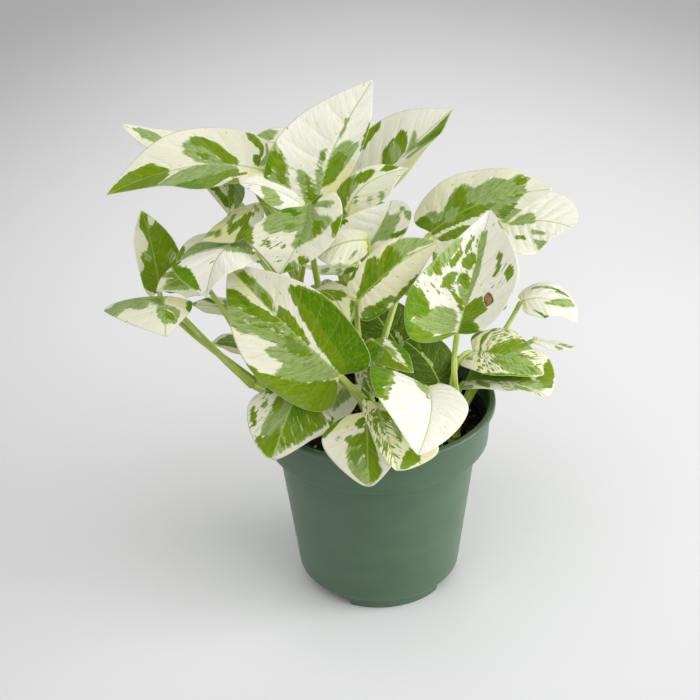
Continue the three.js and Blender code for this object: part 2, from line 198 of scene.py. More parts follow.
def rounded(corners):
    """Profile through corners (r, z, radius of the fillet), with an arc of five points in place
    of each corner that has a radius, and points no further apart than PROFILE_STEP."""
    outline = []
    for i, (r, z, fillet) in enumerate(corners):
        here = np.array([r, z], float)
        if fillet == 0:
            outline.append(here)
            continue
        back = np.array(corners[i - 1][:2], float) - here
        ahead = np.array(corners[i + 1][:2], float) - here
        back /= np.linalg.norm(back)
        ahead /= np.linalg.norm(ahead)
        half = math.acos(np.clip(back @ ahead, -1, 1)) / 2
        centre = here + (back + ahead) / np.linalg.norm(back + ahead) * fillet / math.sin(half)
        cut = fillet / math.tan(half)
        a, b = here + back * cut - centre, here + ahead * cut - centre
        for s in np.linspace(0, 1, 5):
            spoke = a * (1 - s) + b * s
            outline.append(centre + spoke / np.linalg.norm(spoke) * fillet)
    dense = [outline[0]]
    for here, there in zip(outline, outline[1:]):
        steps = max(1, math.ceil(np.linalg.norm(there - here) / PROFILE_STEP))
        dense += [here + (there - here) * s / steps for s in range(1, steps + 1)]
    return np.array(dense)


def over_notches(r, turn, z, grow):
    """Heights z raised over the three notches: each lifts what is lower to its roof, on ramps
    of the draft's width at its two sides and its inner end. Grown by a wall or a gap."""
    from_notch = (np.degrees(turn) - NOTCH_AT + 60) % 120 - 60
    half = NOTCH_ARC / 2 + np.degrees(grow / WALL_R)
    draft = np.degrees(NOTCH_DRAFT / WALL_R)
    inside = smooth_step(half - np.abs(from_notch), -draft / 2, draft / 2)
    inside = inside * smooth_step(r - NOTCH_IN + grow, -NOTCH_DRAFT / 2, NOTCH_DRAFT / 2)
    return np.maximum(z, (NOTCH_HEIGHT + grow) * inside)


def turned(profile, turn):
    """Surface of revolution: the profile's radius laid out round the pot at each turn."""
    r, z = profile[:, :1], profile[:, 1:]
    return np.stack([r * np.cos(turn), r * np.sin(turn), z + 0 * turn], -1)


outside = rounded([
    (2, 0, 0), (SLOT_IN, 0, 0), (SLOT_OUT, 0, 0), (FOOT_R + 0.1, 0, 0.5),
    (FOOT_R + 1.1, NOTCH_HEIGHT - 0.4, 0.6), (FOOT_R + 2.2, NOTCH_HEIGHT + 0.3, 0.5),
    (WALL_R, WALL_Z + 0.4, 1.6), (NECK_R, BAND_Z - 1, 0.5), (BAND_R, BAND_Z, 0.7),
    (BAND_R + 1, POT_HEIGHT - LIP, 0.5), (RIM_R, POT_HEIGHT - LIP + 0.3, 0.7),
    (RIM_R, POT_HEIGHT, 1.2), (RIM_R - LIP, POT_HEIGHT, 0.9), (RIM_R - LIP, POT_HEIGHT - LIP, 0),
])
inside = rounded([
    (BAND_R - WALL + 1.4, POT_HEIGHT - LIP - 1, 0), (BAND_R - WALL, BAND_Z + 2, 0.5),
    (NECK_R - WALL, BAND_Z, 0.5), (WALL_R - WALL, WALL_Z, 1), (SLOT_OUT, WALL, 0),
    (SLOT_IN, WALL, 0), (2, WALL, 0),
])
profile = np.concatenate([outside, inside])
turn = np.radians(NOTCH_AT + np.arange(POT_COLUMNS) * 360 / POT_COLUMNS)
pot_grid = turned(profile, turn)
wall_side = np.arange(len(profile)) >= len(outside)
pot_grid[..., 2] = over_notches(profile[:, :1], turn, pot_grid[..., 2], wall_side[:, None] * WALL)
points, quads, caps = shell(pot_grid, (0, 0, 0), (0, 0, WALL))


def with_slots(quads):
    """The pot's faces with a drain slot through the roof of each notch: the cells between the
    slot's rows and columns are left out below and above, and four walls join the two holes."""
    at_slot = (np.abs(profile[:, 0] - SLOT_IN) < 0.01) | (np.abs(profile[:, 0] - SLOT_OUT) < 0.01)
    low_in, low_out, high_out, high_in = np.flatnonzero(at_slot & (profile[:, 1] < 2))
    half = round(SLOT_HALF_ARC * POT_COLUMNS / 360)
    row, column = (quads[:, 0] - 1) // POT_COLUMNS, (quads[:, 0] - 1) % POT_COLUMNS
    from_slot = (column + half) % (POT_COLUMNS // NOTCHES)
    level = ((row >= low_in) & (row < low_out)) | ((row >= high_out) & (row < high_in))
    kept = [quads[~(level & (from_slot < 2 * half))]]

    def at(rows, columns):
        return 1 + rows * POT_COLUMNS + columns % POT_COLUMNS

    step = np.arange(low_out - low_in)
    for k in range(NOTCHES):
        left = k * POT_COLUMNS // NOTCHES - half
        right = left + 2 * half
        c = np.arange(left, right)
        below, above = low_in + step, high_in - step
        kept += [np.stack(wall, -1) for wall in (
            (at(low_in, c), at(low_in, c + 1), at(high_in, c + 1), at(high_in, c)),
            (at(low_out, c + 1), at(low_out, c), at(high_out, c), at(high_out, c + 1)),
            (at(below + 1, left), at(below, left), at(above, left), at(above - 1, left)),
            (at(below, right), at(below + 1, right), at(above - 1, right), at(above, right)),
        )]
    return np.concatenate(kept)


plastic = Finish("pot_plastic", Specular_IOR_Level=0.42, Coat_Weight=0.12, Coat_Roughness=0.3)
place = plastic.place()
height = plastic.split(place)[2]
inner_dark_share = plastic.attribute("inner_dark_share", "Fac")
flow = plastic.noise(plastic.stretch(place, (1, 1, 4)), 24, 3)
tint = plastic.mix(plastic.fade(flow, 0.35, 0.7), colour(POT_GREEN), colour(POT_GREEN_PALE))
scuffs = plastic.fade(plastic.noise(plastic.stretch(place, (1, 1, 0.35)), 420, 4, 0.7), 0.63, 0.8)
tint = plastic.mix(plastic.sum("MULTIPLY", scuffs, 0.1), tint, colour(PLASTIC_DUST))
low = plastic.fade(height, 0.011, 0.002)
specks = plastic.fade(plastic.noise(place, 900, 2, 0.6), 0.66, 0.72)
tint = plastic.mix(plastic.sum("MULTIPLY", specks, low), tint, colour(NEAR_BLACK))
# The inside of the pot turns near-black and rougher below a ragged line 4 to 14 mm under the lip
line = plastic.sum("MULTIPLY_ADD", inner_dark_share, 1.3, plastic.noise(place, 120, 4))
inner_darkening = plastic.fade(line, 1.05, 1.35)
tint = plastic.mix(inner_darkening, tint, colour(NEAR_BLACK))
gloss = plastic.fade(flow, 0.3, 0.7, 0.36, 0.44)
gloss = plastic.sum("ADD", gloss, plastic.sum("MULTIPLY", inner_darkening, 0.4))
grain = plastic.bump(plastic.noise(place, 1400, 2), 0.05)
ripple = plastic.bump(plastic.noise(place, 60, 1), 0.12, grain)
pot = piece("grow_pot", [(points, with_slots(quads), caps)], plastic.finish(tint, gloss, ripple),
            "pot", "pot")
inner_dark_band = wall_side * smooth_step(profile[:, 1], POT_HEIGHT - 4, POT_HEIGHT - 14)
attribute(pot, "inner_dark_share", np.concatenate([[0], np.repeat(inner_dark_band, POT_COLUMNS), [1]]))


# Potting mix
# Dark peat and bark, packed to 17 mm below the lip with a lumpy top, 0.3 mm clear of the pot.
# Shreds of bark and pale grit lie loose on it, sunk a little way in.
CLEAR = 0.3
SOIL_Z, SOIL_BUMP = 77, 1.1
MIX_EDGE = BAND_R - WALL - CLEAR
MIX_RINGS, MIX_COLUMNS = 70, 240
BARK_BITS, GRIT_BITS = 1100, 260
WAVES = [(0.31, 0.12, 0), (-0.16, 0.27, 2), (0.4, -0.33, 4)]
CRUMBS = [(1.9, 1.3, 0.5, 0.55), (-1.2, 2.1, 1.7, 0.5), (3.1, -2.3, 2.9, 0.3), (4.4, 3.7, 4.1, 0.2)]
PEAT_WET, PEAT_DRY = (14, 11, 8), (46, 35, 24)
BARK_DARK, BARK = (26, 21, 16), (92, 68, 42)
GRIT_DARK, GRIT = (84, 74, 56), (176, 168, 146)


def mix_height(x, y):
    """Top of the mix: the mean of three long crossing waves, and four short ones for crumbs."""
    long = sum(np.sin(a * x + b * y + phase) for a, b, phase in WAVES) / len(WAVES)
    short = sum(size * np.sin(a * x + phase + 2 * np.sin(b * y / 2)) for a, b, phase, size in CRUMBS)
    return SOIL_Z + SOIL_BUMP * long + 0.45 * short


def bits(count, size, flat, seed):
    """Loose bits on the mix: one small ball of a few faces for each, stretched and turned at
    random, dented by its own waves, and half sunk where it lies."""
    draw = np.random.default_rng(seed)
    across, up = 6, 5
    phi, theta = np.meshgrid(np.arange(1, up) * math.pi / up, np.arange(across) * math.tau / across,
                             indexing="ij")
    ball = np.stack([np.sin(phi) * np.cos(theta), np.sin(phi) * np.sin(theta), -np.cos(phi)], -1)
    points, quads, triangles = shell(ball, (0, 0, -1), (0, 0, 1))
    r = (MIX_EDGE - 1.5) * np.sqrt(draw.random(count))
    turn = draw.random(count) * math.tau
    x, y = r * np.cos(turn), r * np.sin(turn)
    long = size * (0.35 + draw.random(count) ** 3 * 1.5)
    radii = np.stack([long, long * (0.4 + 0.4 * draw.random(count)), long * flat], -1)
    dents = 1 + 0.22 * np.sin(points @ draw.normal(size=(3, count)) * 3 + draw.random(count) * 6)
    local = points[None] * radii[:, None] * dents.T[..., None]
    yaw, tilt = draw.random(count) * math.tau, draw.normal(size=count) * 0.45
    cos, sin = np.cos(tilt)[:, None], np.sin(tilt)[:, None]
    side, height = local[..., 0] * cos - local[..., 2] * sin, local[..., 0] * sin + local[..., 2] * cos
    cos, sin = np.cos(yaw)[:, None], np.sin(yaw)[:, None]
    placed = np.stack([
        x[:, None] + side * cos - local[..., 1] * sin,
        y[:, None] + side * sin + local[..., 1] * cos,
        (mix_height(x, y) + radii[:, 2] * 0.5)[:, None] + height,
    ], -1)
    step = (np.arange(count) * len(points))[:, None, None]
    return placed.reshape(-1, 3), (quads + step).reshape(-1, 4), (triangles + step).reshape(-1, 3)


turn = np.arange(MIX_COLUMNS) * math.tau / MIX_COLUMNS
mix_wall = np.array([
    (FOOT_R - WALL - CLEAR, WALL + CLEAR), (WALL_R - WALL - CLEAR, WALL_Z),
    (NECK_R - WALL - CLEAR, BAND_Z + CLEAR), (MIX_EDGE, SOIL_Z + 0.6),
])
mix_under = turned(np.array([(r, WALL + CLEAR) for r in (4, 12, 20, 23, 24, 26, 30)]), turn)
mix_side = turned(mix_wall, turn)
mix_low = np.concatenate([mix_under, mix_side[:2]])
mix_low[..., 2] = over_notches(np.hypot(mix_low[..., 0], mix_low[..., 1]), turn, mix_low[..., 2],
                               WALL + CLEAR)
mix_top = turned(np.linspace((MIX_EDGE - 0.4, 0), (0.5, 0), MIX_RINGS), turn)
mix_top[..., 2] = mix_height(mix_top[..., 0], mix_top[..., 1])
mix_grid = np.concatenate([mix_low, mix_side[2:], mix_top])

peat = Finish("peat", Specular_IOR_Level=0.2)
place = peat.place()
fine = peat.noise(place, 700, 5, 0.7)
tint = peat.mix(peat.fade(fine, 0.4, 0.7), colour(PEAT_WET), colour(PEAT_DRY))
chips = peat.fade(peat.noise(peat.stretch(place, (1, 0.5, 1)), 1500, 3, 0.6), 0.62, 0.7)
tint = peat.mix(peat.sum("MULTIPLY", chips, 0.6), tint, colour(BARK))
rough = peat.bump(fine, 1.4)
piece("potting_mix", [shell(mix_grid, (0, 0, WALL + CLEAR), (0, 0, mix_height(0, 0)))],
      peat.finish(tint, 0.95, rough), "soil", "soil")

bark = Finish("bark", Specular_IOR_Level=0.25)
place = bark.place()
shade = bark.noise(bark.stretch(place, (1, 3, 3)), 260, 4, 0.6)
tint = bark.mix(bark.fade(shade, 0.35, 0.68), colour(BARK_DARK), colour(BARK))
piece("bark_bits", [bits(BARK_BITS, 1.5, 0.32, 7)],
      bark.finish(tint, 0.85, bark.bump(shade, 0.5)), "soil")

grit = Finish("grit", Specular_IOR_Level=0.3)
place = grit.place()
shade = grit.noise(place, 330, 3, 0.6)
tint = grit.mix(grit.fade(shade, 0.4, 0.62), colour(GRIT_DARK), colour(GRIT))
piece("grit", [bits(GRIT_BITS, 0.7, 0.8, 11)],
      grit.finish(tint, 0.9, grit.bump(shade, 0.3)), "soil")


# Stems and stalks
# Each cutting is a round green stem that stands in a hole in the mix, thicker at its joints.
# A stalk leaves each joint in a short sheath, with a groove along its upper side, and runs on
# into the underside of its blade.
# Each cutting's stem is a cubic curve through the mix and up into the leaves.
STEMS = {
    "a": [(-30, -7, 60), (-34, -7, 84), (-42, -8, 100), (-55, -8, 106)],
    "b": [(-18, 14, 60), (-19, 14, 90), (-26, 16, 118), (-34, 18, 142)],
    "c": [(-6, 26, 60), (-6, 26, 90), (-12, 34, 116), (-14, 36, 138)],
    "d": [(-12, 2, 60), (-13, 2, 84), (-18, 4, 106), (-20, 5, 128)],
    "e": [(2, -28, 60), (2, -28, 76), (2, -31, 88), (0, -32, 98)],
    "f": [(16, -22, 60), (16, -22, 74), (15, -25, 86), (13, -26, 96)],
    "g": [(2, -6, 60), (1, -6, 78), (-2, -8, 94), (-5, -12, 108)],
    "h": [(32, -12, 60), (33, -12, 74), (36, -14, 86), (37, -14, 96)],
    "i": [(28, 16, 60), (28, 16, 84), (28, 22, 106), (30, 26, 124)],
    "j": [(6, 38, 60), (6, 38, 84), (6, 48, 106), (8, 50, 122)],
}

# One row for each blade, by stem. Seen from its upper face with the tip up, the points are the
# stalk's end, the middle of the midrib, the tip, and the widest left and right edge. Then come the
# cupping across in degrees, the fullness of the outline and the place on the stem, from 0 to 1.
BLADES = {
    "a1": [(-98, 24, 138), (-100, 26, 157), (-104, 32, 174), (-106, 16, 156), (-88, 32, 150), 20, 0.82, 0.8],
    "a2": [(-75, 6, 149), (-85, 6, 152), (-96, 2, 148), (-82, -4, 148), (-84, 16, 155), -20, 0.85, 0.9],
    "a3": [(-91, -5, 149), (-89, -22, 153), (-87, -38, 147), (-78, -16, 150), (-116, -18, 150), -20, 0.8, 1],
    "a4": [(-62, 22, 129), (-73, 24, 129), (-84, 23, 131), (-72, 18, 128), (-73, 30, 131), 10, 0.9, 0.6],
    "a5": [(-56, 8, 115), (-66, 12, 117), (-76, 15, 114), (-62, 2, 116), (-64, 20, 117), 10, 0.9, 0.5],
    "b1": [(-49, 35, 191), (-81, 33, 194), (-117, 22, 186), (-70, 12, 193), (-75, 52, 206), 20, 0.92, 1],
    "b2": [(-79, 75, 186), (-99, 72, 193), (-116, 68, 202), (-93, 62, 187), (-92, 82, 192), 20, 0.9, 0.8],
    "b3": [(-68, 42, 190), (-66, 44, 178), (-66, 46, 164), (-58, 38, 183), (-77, 46, 182), 20, 0.9, 0.9],
    "b4": [(-29, 9, 184), (-43, 8, 193), (-57, 6, 197), (-40, -4, 189), (-42, 19, 192), 20, 0.85, 1],
    "b5": [(-49, 16, 183), (-60, 12, 178), (-75, 8, 170), (-56, 2, 173), (-62, 22, 177), 10, 0.9, 0.9],
    "b6": [(-51, -6, 170), (-63, -20, 177), (-69, -38, 165), (-54, -28, 173), (-83, -16, 171), -10, 0.9, 0.7],
    "b7": [(-55, 20, 163), (-74, 17, 163), (-87, 9, 157), (-70, 5, 162), (-75, 28, 164), -20, 0.85, 0.6],
    "c1": [(-25, 28, 178), (-16, 38, 202), (1, 50, 227), (-47, 34, 197), (-5, 36, 198), 25, 0.96, 1],
    "c2": [(-24, 64, 188), (-40, 66, 191), (-57, 68, 193), (-36, 56, 187), (-37, 76, 196), 10, 0.9, 0.9],
    "c3": [(-13, 45, 166), (10, 50, 188), (37, 58, 210), (-2, 62, 199), (18, 40, 189), 20, 1, 1],
    "c4": [(-12, 18, 173), (-4, 24, 187), (16, 29, 193), (-13, 30, 187), (6, 16, 185), 30, 0.9, 0.8],
    "c5": [(-7, 54, 158), (-3, 68, 172), (-1, 86, 180), (-20, 73, 167), (6, 68, 167), -15, 0.85, 0.7],
    "d1": [(-28, -6, 191), (-31, -15, 180), (-40, -22, 167), (-13, -18, 189), (-55, -14, 183), -20, 0.9, 1],
    "d2": [(-4, 0, 166), (4, 6, 178), (8, 10, 186), (-17, 2, 177), (15, -4, 180), 10, 0.8, 0.9],
    "d3": [(-3, -6, 175), (-14, -12, 176), (-24, -16, 172), (-12, -20, 169), (-14, -4, 179), 10, 0.8, 0.8],
    "d4": [(-9, 12, 154), (-20, 9, 155), (-32, 6, 158), (-17, 1, 155), (-18, 18, 152), 10, 0.9, 0.8],
    "d5": [(-27, -15, 155), (-18, -18, 154), (-12, -22, 142), (-12, -8, 156), (-25, -26, 148), 10, 0.85, 0.9],
    "e1": [(-15, -45, 131), (-39, -37, 153), (-61, -18, 169), (-47, -52, 132), (-16, -38, 160), 25, 0.8, 1],
    "e2": [(-25, -36, 128), (-34, -46, 121), (-44, -56, 97), (-18, -47, 110), (-53, -42, 118),
           -20, 0.72, 0.8],
    "e3": [(-13, -26, 115), (-22, -31, 104), (-34, -44, 97), (-11, -30, 104), (-28, -24, 102), 0, 0.8, 0.6],
    "f1": [(-4, -52, 118), (-4, -63, 111), (-4, -70, 92), (9, -62, 108), (-23, -60, 109), 10, 0.72, 0.8],
    "f2": [(0, -52, 121), (4, -67, 115), (8, -78, 105), (25, -63, 109), (-4, -67, 121), 0, 0.7, 0.9],
    "f3": [(21, -38, 121), (22, -64, 124), (16, -87, 118), (38, -53, 121), (-3, -56, 138), -20, 0.8, 1],
    "f4": [(-1, -20, 134), (6, -24, 130), (16, -30, 123), (11, -16, 129), (-3, -28, 129), 10, 0.85, 0.9],
    "f5": [(-5, -22, 125), (-5, -28, 119), (1, -32, 112), (-1, -31, 123), (-9, -24, 119), 10, 0.85, 0.8],
    "g1": [(-7, -30, 158), (9, -24, 171), (27, -14, 177), (-1, -18, 175), (9, -34, 159), -20, 0.85, 1],
    "g2": [(12, 14, 109), (4, 18, 121), (-6, 22, 134), (-8, 12, 120), (18, 24, 123), 10, 0.8, 0.5],
    "g3": [(29, -5, 101), (23, 0, 112), (13, 5, 120), (11, -8, 111), (34, 8, 113), 10, 0.8, 0.6],
    "g4": [(26, 40, 157), (51, 46, 169), (82, 48, 174), (38, 64, 175), (47, 22, 161), 20, 0.78, 0.9],
    "h1": [(34, -38, 146), (40, -27, 164), (49, -8, 189), (12, -44, 163), (58, -36, 169), 20, 0.95, 1],
    "h2": [(44, 10, 111), (60, 6, 110), (76, 2, 103), (60, 26, 114), (48, -10, 111), -15, 0.72, 0.8],
    "h3": [(40, 0, 101), (60, -2, 102), (77, -5, 95), (70, 22, 106), (55, -14, 105), 0, 0.7, 0.6],
    "h4": [(69, 40, 121), (83, 42, 120), (94, 36, 111), (85, 54, 123), (79, 28, 118), -10, 0.8, 0.6],
    "h5": [(75, 30, 106), (85, 30, 103), (94, 30, 102), (83, 38, 101), (81, 22, 105), 0, 0.9, 0.5],
    "i1": [(59, 52, 155), (78, 58, 154), (93, 56, 151), (80, 76, 163), (72, 38, 146), 15, 0.75, 0.9],
    "i2": [(30, 64, 142), (38, 78, 138), (44, 92, 124), (54, 70, 134), (22, 82, 132), -15, 0.85, 0.8],
    "i3": [(36, 52, 120), (50, 60, 118), (62, 68, 108), (58, 44, 114), (40, 72, 114), -15, 0.85, 0.7],
    "j1": [(-25, 62, 148), (-33, 76, 144), (-39, 88, 130), (-13, 78, 138), (-49, 68, 140), -15, 0.85, 0.9],
    "j2": [(-8, 66, 160), (-8, 82, 158), (-8, 98, 146), (10, 80, 154), (-26, 78, 156), -15, 0.85, 1],
    "j3": [(-18, 60, 120), (-24, 76, 116), (-28, 90, 104), (-8, 78, 112), (-40, 70, 112), -15, 0.85, 0.7],
    "j4": [(12, 62, 116), (16, 78, 112), (20, 92, 100), (32, 72, 108), (0, 80, 108), -15, 0.85, 0.8],
}

# The stalks that don't follow the common rule, by the two inner points of their curve.
STALK_BENDS = {
    "a1": [(-70, -2, 120), (-96, 14, 128)],
    "a3": [(-64, -8, 114), (-86, -4, 140)],
    "c2": [(-20, 44, 150), (-22, 60, 168)],
    "d1": [(-24, -8, 146), (-28, 0, 172)],
    "d2": [(-6, 0, 138), (-4, 0, 150)],
    "d3": [(-10, -8, 142), (-2, -10, 160)],
    "e1": [(-2, -34, 112), (-8, -44, 122)],
    "e2": [(-4, -36, 112), (-13, -37, 127)],
    "e3": [(-4, -24, 102), (-13, -19, 114)],
    "g1": [(-7, -12, 124), (-8, -22, 140)],
    "g4": [(4, -12, 126), (10, 2, 158)],
    "h1": [(34, -22, 108), (32, -34, 128)],
    "h2": [(31, -10, 103), (35, 4, 114)],
    "h4": [(40, 4, 96), (58, 36, 100)],
    "h5": [(40, 2, 96), (58, 28, 100)],
}

STEM_R, STALK_R = (2.6, 2.1), (1.9, 1.0)
STALK_SET_BACK = 0.93
STALK_ROWS, STEM_ROWS, TUBE_SIDES = 56, 90, 20
STALK_GREEN, STALK_PALE, STALK_DEEP = (204, 218, 112), (230, 236, 180), (160, 188, 62)
STALK_FOOT = (140, 164, 60)


def unit(vectors):
    """Each vector divided by its own length."""
    return vectors / np.linalg.norm(vectors, axis=-1, keepdims=True)


def evenly(path, count):
    """Points evenly spaced by length along a path."""
    run = np.concatenate([[0], np.cumsum(np.linalg.norm(np.diff(path, axis=0), axis=1))])
    at = np.linspace(0, run[-1], count)
    return np.stack([np.interp(at, run, path[:, axis]) for axis in range(3)], -1)


def curve(a, b, c, d, count):
    """Cubic Bezier curve from a to d, pulled towards b and then c."""
    s = np.linspace(0, 1, 201)[:, None]
    a, b, c, d = (np.array(point, float) for point in (a, b, c, d))
    path = a * (1 - s) ** 3 + 3 * b * s * (1 - s) ** 2 + 3 * c * s**2 * (1 - s) + d * s**3
    return evenly(path, count)


def tube(path, radius, sideways, groove):
    """Skin carried along a path: at each point a ring of its own radius, square to the path. The
    groove takes a share off the radius in a bell shape about the upper side."""
    ahead = unit(np.gradient(path, axis=0))
    side = unit(sideways - (ahead @ sideways)[:, None] * ahead)
    up = np.cross(side, ahead)
    turn = np.arange(TUBE_SIDES) * math.tau / TUBE_SIDES
    dip = groove * np.exp(-(((turn - math.tau * 0.75) / 0.45) ** 2))
    ring = side[:, None] * np.cos(turn)[:, None] - up[:, None] * np.sin(turn)[:, None]
    grid = path[:, None] + ring * (radius[:, None] * (1 - dip[None]))[..., None]
    return shell(grid, path[0], path[-1])


def stem_body(key, starts):
    """Stem with a swelling and a fine ring at each joint, narrowed to a blunt end."""
    path = curve(*STEMS[key], STEM_ROWS)
    s = np.linspace(0, 1, STEM_ROWS)
    radius = STEM_R[0] + (STEM_R[1] - STEM_R[0]) * s
    for start in starts:
        radius = radius * (1 + 0.13 * np.exp(-(((s - start) / 0.022) ** 2)))
        radius = radius * (1 - 0.07 * np.exp(-(((s - start + 0.035) / 0.008) ** 2)))
    radius = radius * np.sqrt(np.clip((1.012 - s) / 0.03, 0.05, 1))
    return path, tube(path, radius, np.array([0.0, 1.0, 0.0]), 0.0)


def stalk_body(stem, row, bend):
    """Stalk from its joint on the stem to the blade. It thins on the way, wide in its sheath at
    the start and swollen at the knee under the blade, where it turns and runs into the midrib."""
    base, middle, tip, left, right = (np.array(point, float) for point in row[:5])
    along = np.linspace(0, 1, STEM_ROWS)
    foot = np.array([np.interp(row[7], along, stem[:, axis]) for axis in range(3)])
    ahead = unit(middle - base)
    up = unit(np.cross(right - left, tip - base))
    end = base - STALK_SET_BACK * unit(up + ahead)
    reach = np.linalg.norm(end - foot)
    leaving = np.append(0.4 * unit((end - foot)[:2]), 1)
    common = foot + 0.4 * reach * unit(leaving), end - 0.3 * reach * (0.8 * up + 0.5 * ahead)
    first, second = bend or common
    run = curve(foot, first, second, end, 200)
    into = base + np.array([[0.6], [1.8], [3.2]]) * ahead - np.array([[0.55], [0.4], [0.1]]) * up
    path = evenly(np.concatenate([run, into]), STALK_ROWS)
    s = np.linspace(0, 1, STALK_ROWS)
    from_knee = (1 - s) * reach
    radius = STALK_R[0] + (STALK_R[1] - STALK_R[0]) * s**0.8
    knee = np.exp(-(((from_knee - 5) / 2.6) ** 2))
    radius = radius * (1 + 0.22 * smooth_step(s, 0.12, 0) + 0.16 * knee)
    radius = radius * np.clip(from_knee / 3.4, 0.25, 1)
    return tube(path, radius, unit(right - left), 0.2)


green_stalk = Finish("stalk_skin", Specular_IOR_Level=0.4)
skin = green_stalk.attribute("skin")
along = green_stalk.split(skin)[2]
streaks = green_stalk.noise(green_stalk.stretch(skin, (0.8, 0.05, 0)), 1.0, 4, 0.6)
blotch = green_stalk.noise(green_stalk.place(), 45, 2)
tint = green_stalk.mix(green_stalk.fade(streaks, 0.38, 0.62), colour(STALK_DEEP), colour(STALK_GREEN))
pale = green_stalk.fade(streaks, 0.5, 0.72)
pale = green_stalk.sum("MULTIPLY", pale, green_stalk.fade(blotch, 0.35, 0.6))
tint = green_stalk.mix(pale, tint, colour(STALK_PALE))
tint = green_stalk.mix(green_stalk.fade(along, 0.25, 0.0, 0.0, 0.4), tint, colour(STALK_FOOT))
furrow = green_stalk.bump(streaks, 0.12)
stalk_finish = green_stalk.finish(tint, 0.42, furrow)

for key in STEMS:
    rows = {name: row for name, row in BLADES.items() if name[0] == key}
    stem, body = stem_body(key, [row[7] for row in rows.values()])
    bodies = [body] + [stalk_body(stem, row, STALK_BENDS.get(name)) for name, row in rows.items()]
    made = piece(f"stalks_{key}", bodies, stalk_finish, "stalk", f"vine_{key}")
    skins = []
    for number, (points, _, _) in enumerate(bodies):
        count = (len(points) - 2) // TUBE_SIDES
        s, turn = np.divmod(np.arange(count * TUBE_SIDES), TUBE_SIDES)
        around = np.sin(turn * math.tau / TUBE_SIDES) * 3 + number * 17
        length = np.linalg.norm(points[0] - points[-1])
        run = np.stack([around, s / count * length, s / count], -1)
        skins += [run[:1], run, run[-1:]]
    attribute(made, "skin", np.concatenate(skins))


# Leaf blades
# Heart-shaped blades 0.8 mm thick, one piece each, cupped and waved, with a sunken midrib and
# lateral veins that lean to the tip. Cream, grey-green and green sectors run out along the veins,
# with ragged edges and flecks.
BLADE_T = 0.8
WIDEST = 0.32
BLADE_ROWS, BLADE_HALF = 76, 20
QUILT = 0.45
CREAM, CREAM_SHADE = (243, 242, 232), (238, 236, 216)
# Partly the cream's own yellow and partly painted light: the yellow that light through and between the leaves
# gives cream in shade
YELLOW_AND_BOUNCE = (230, 227, 160)
GREY_PALE, GREY_DEEP = (174, 194, 130), (118, 148, 66)
GREEN, GREEN_RICH = (126, 154, 14), (100, 132, 0)
DEEP, DEEPEST = (100, 146, 4), (76, 120, 0)
# Painted shade: the dark green of blades deep among the others, where shade falls
PAINTED_SHADE_GREEN = (44, 72, 0)
RIB = (168, 190, 98)
MARGIN, UNDERSIDE = (222, 228, 176), (205, 216, 172)
FLECK, FLECK_PALE, FLECK_IN_GREEN = (108, 138, 16), (142, 164, 80), (190, 204, 146)
BROWN, BROWN_RIM = (168, 132, 84), (96, 70, 38)
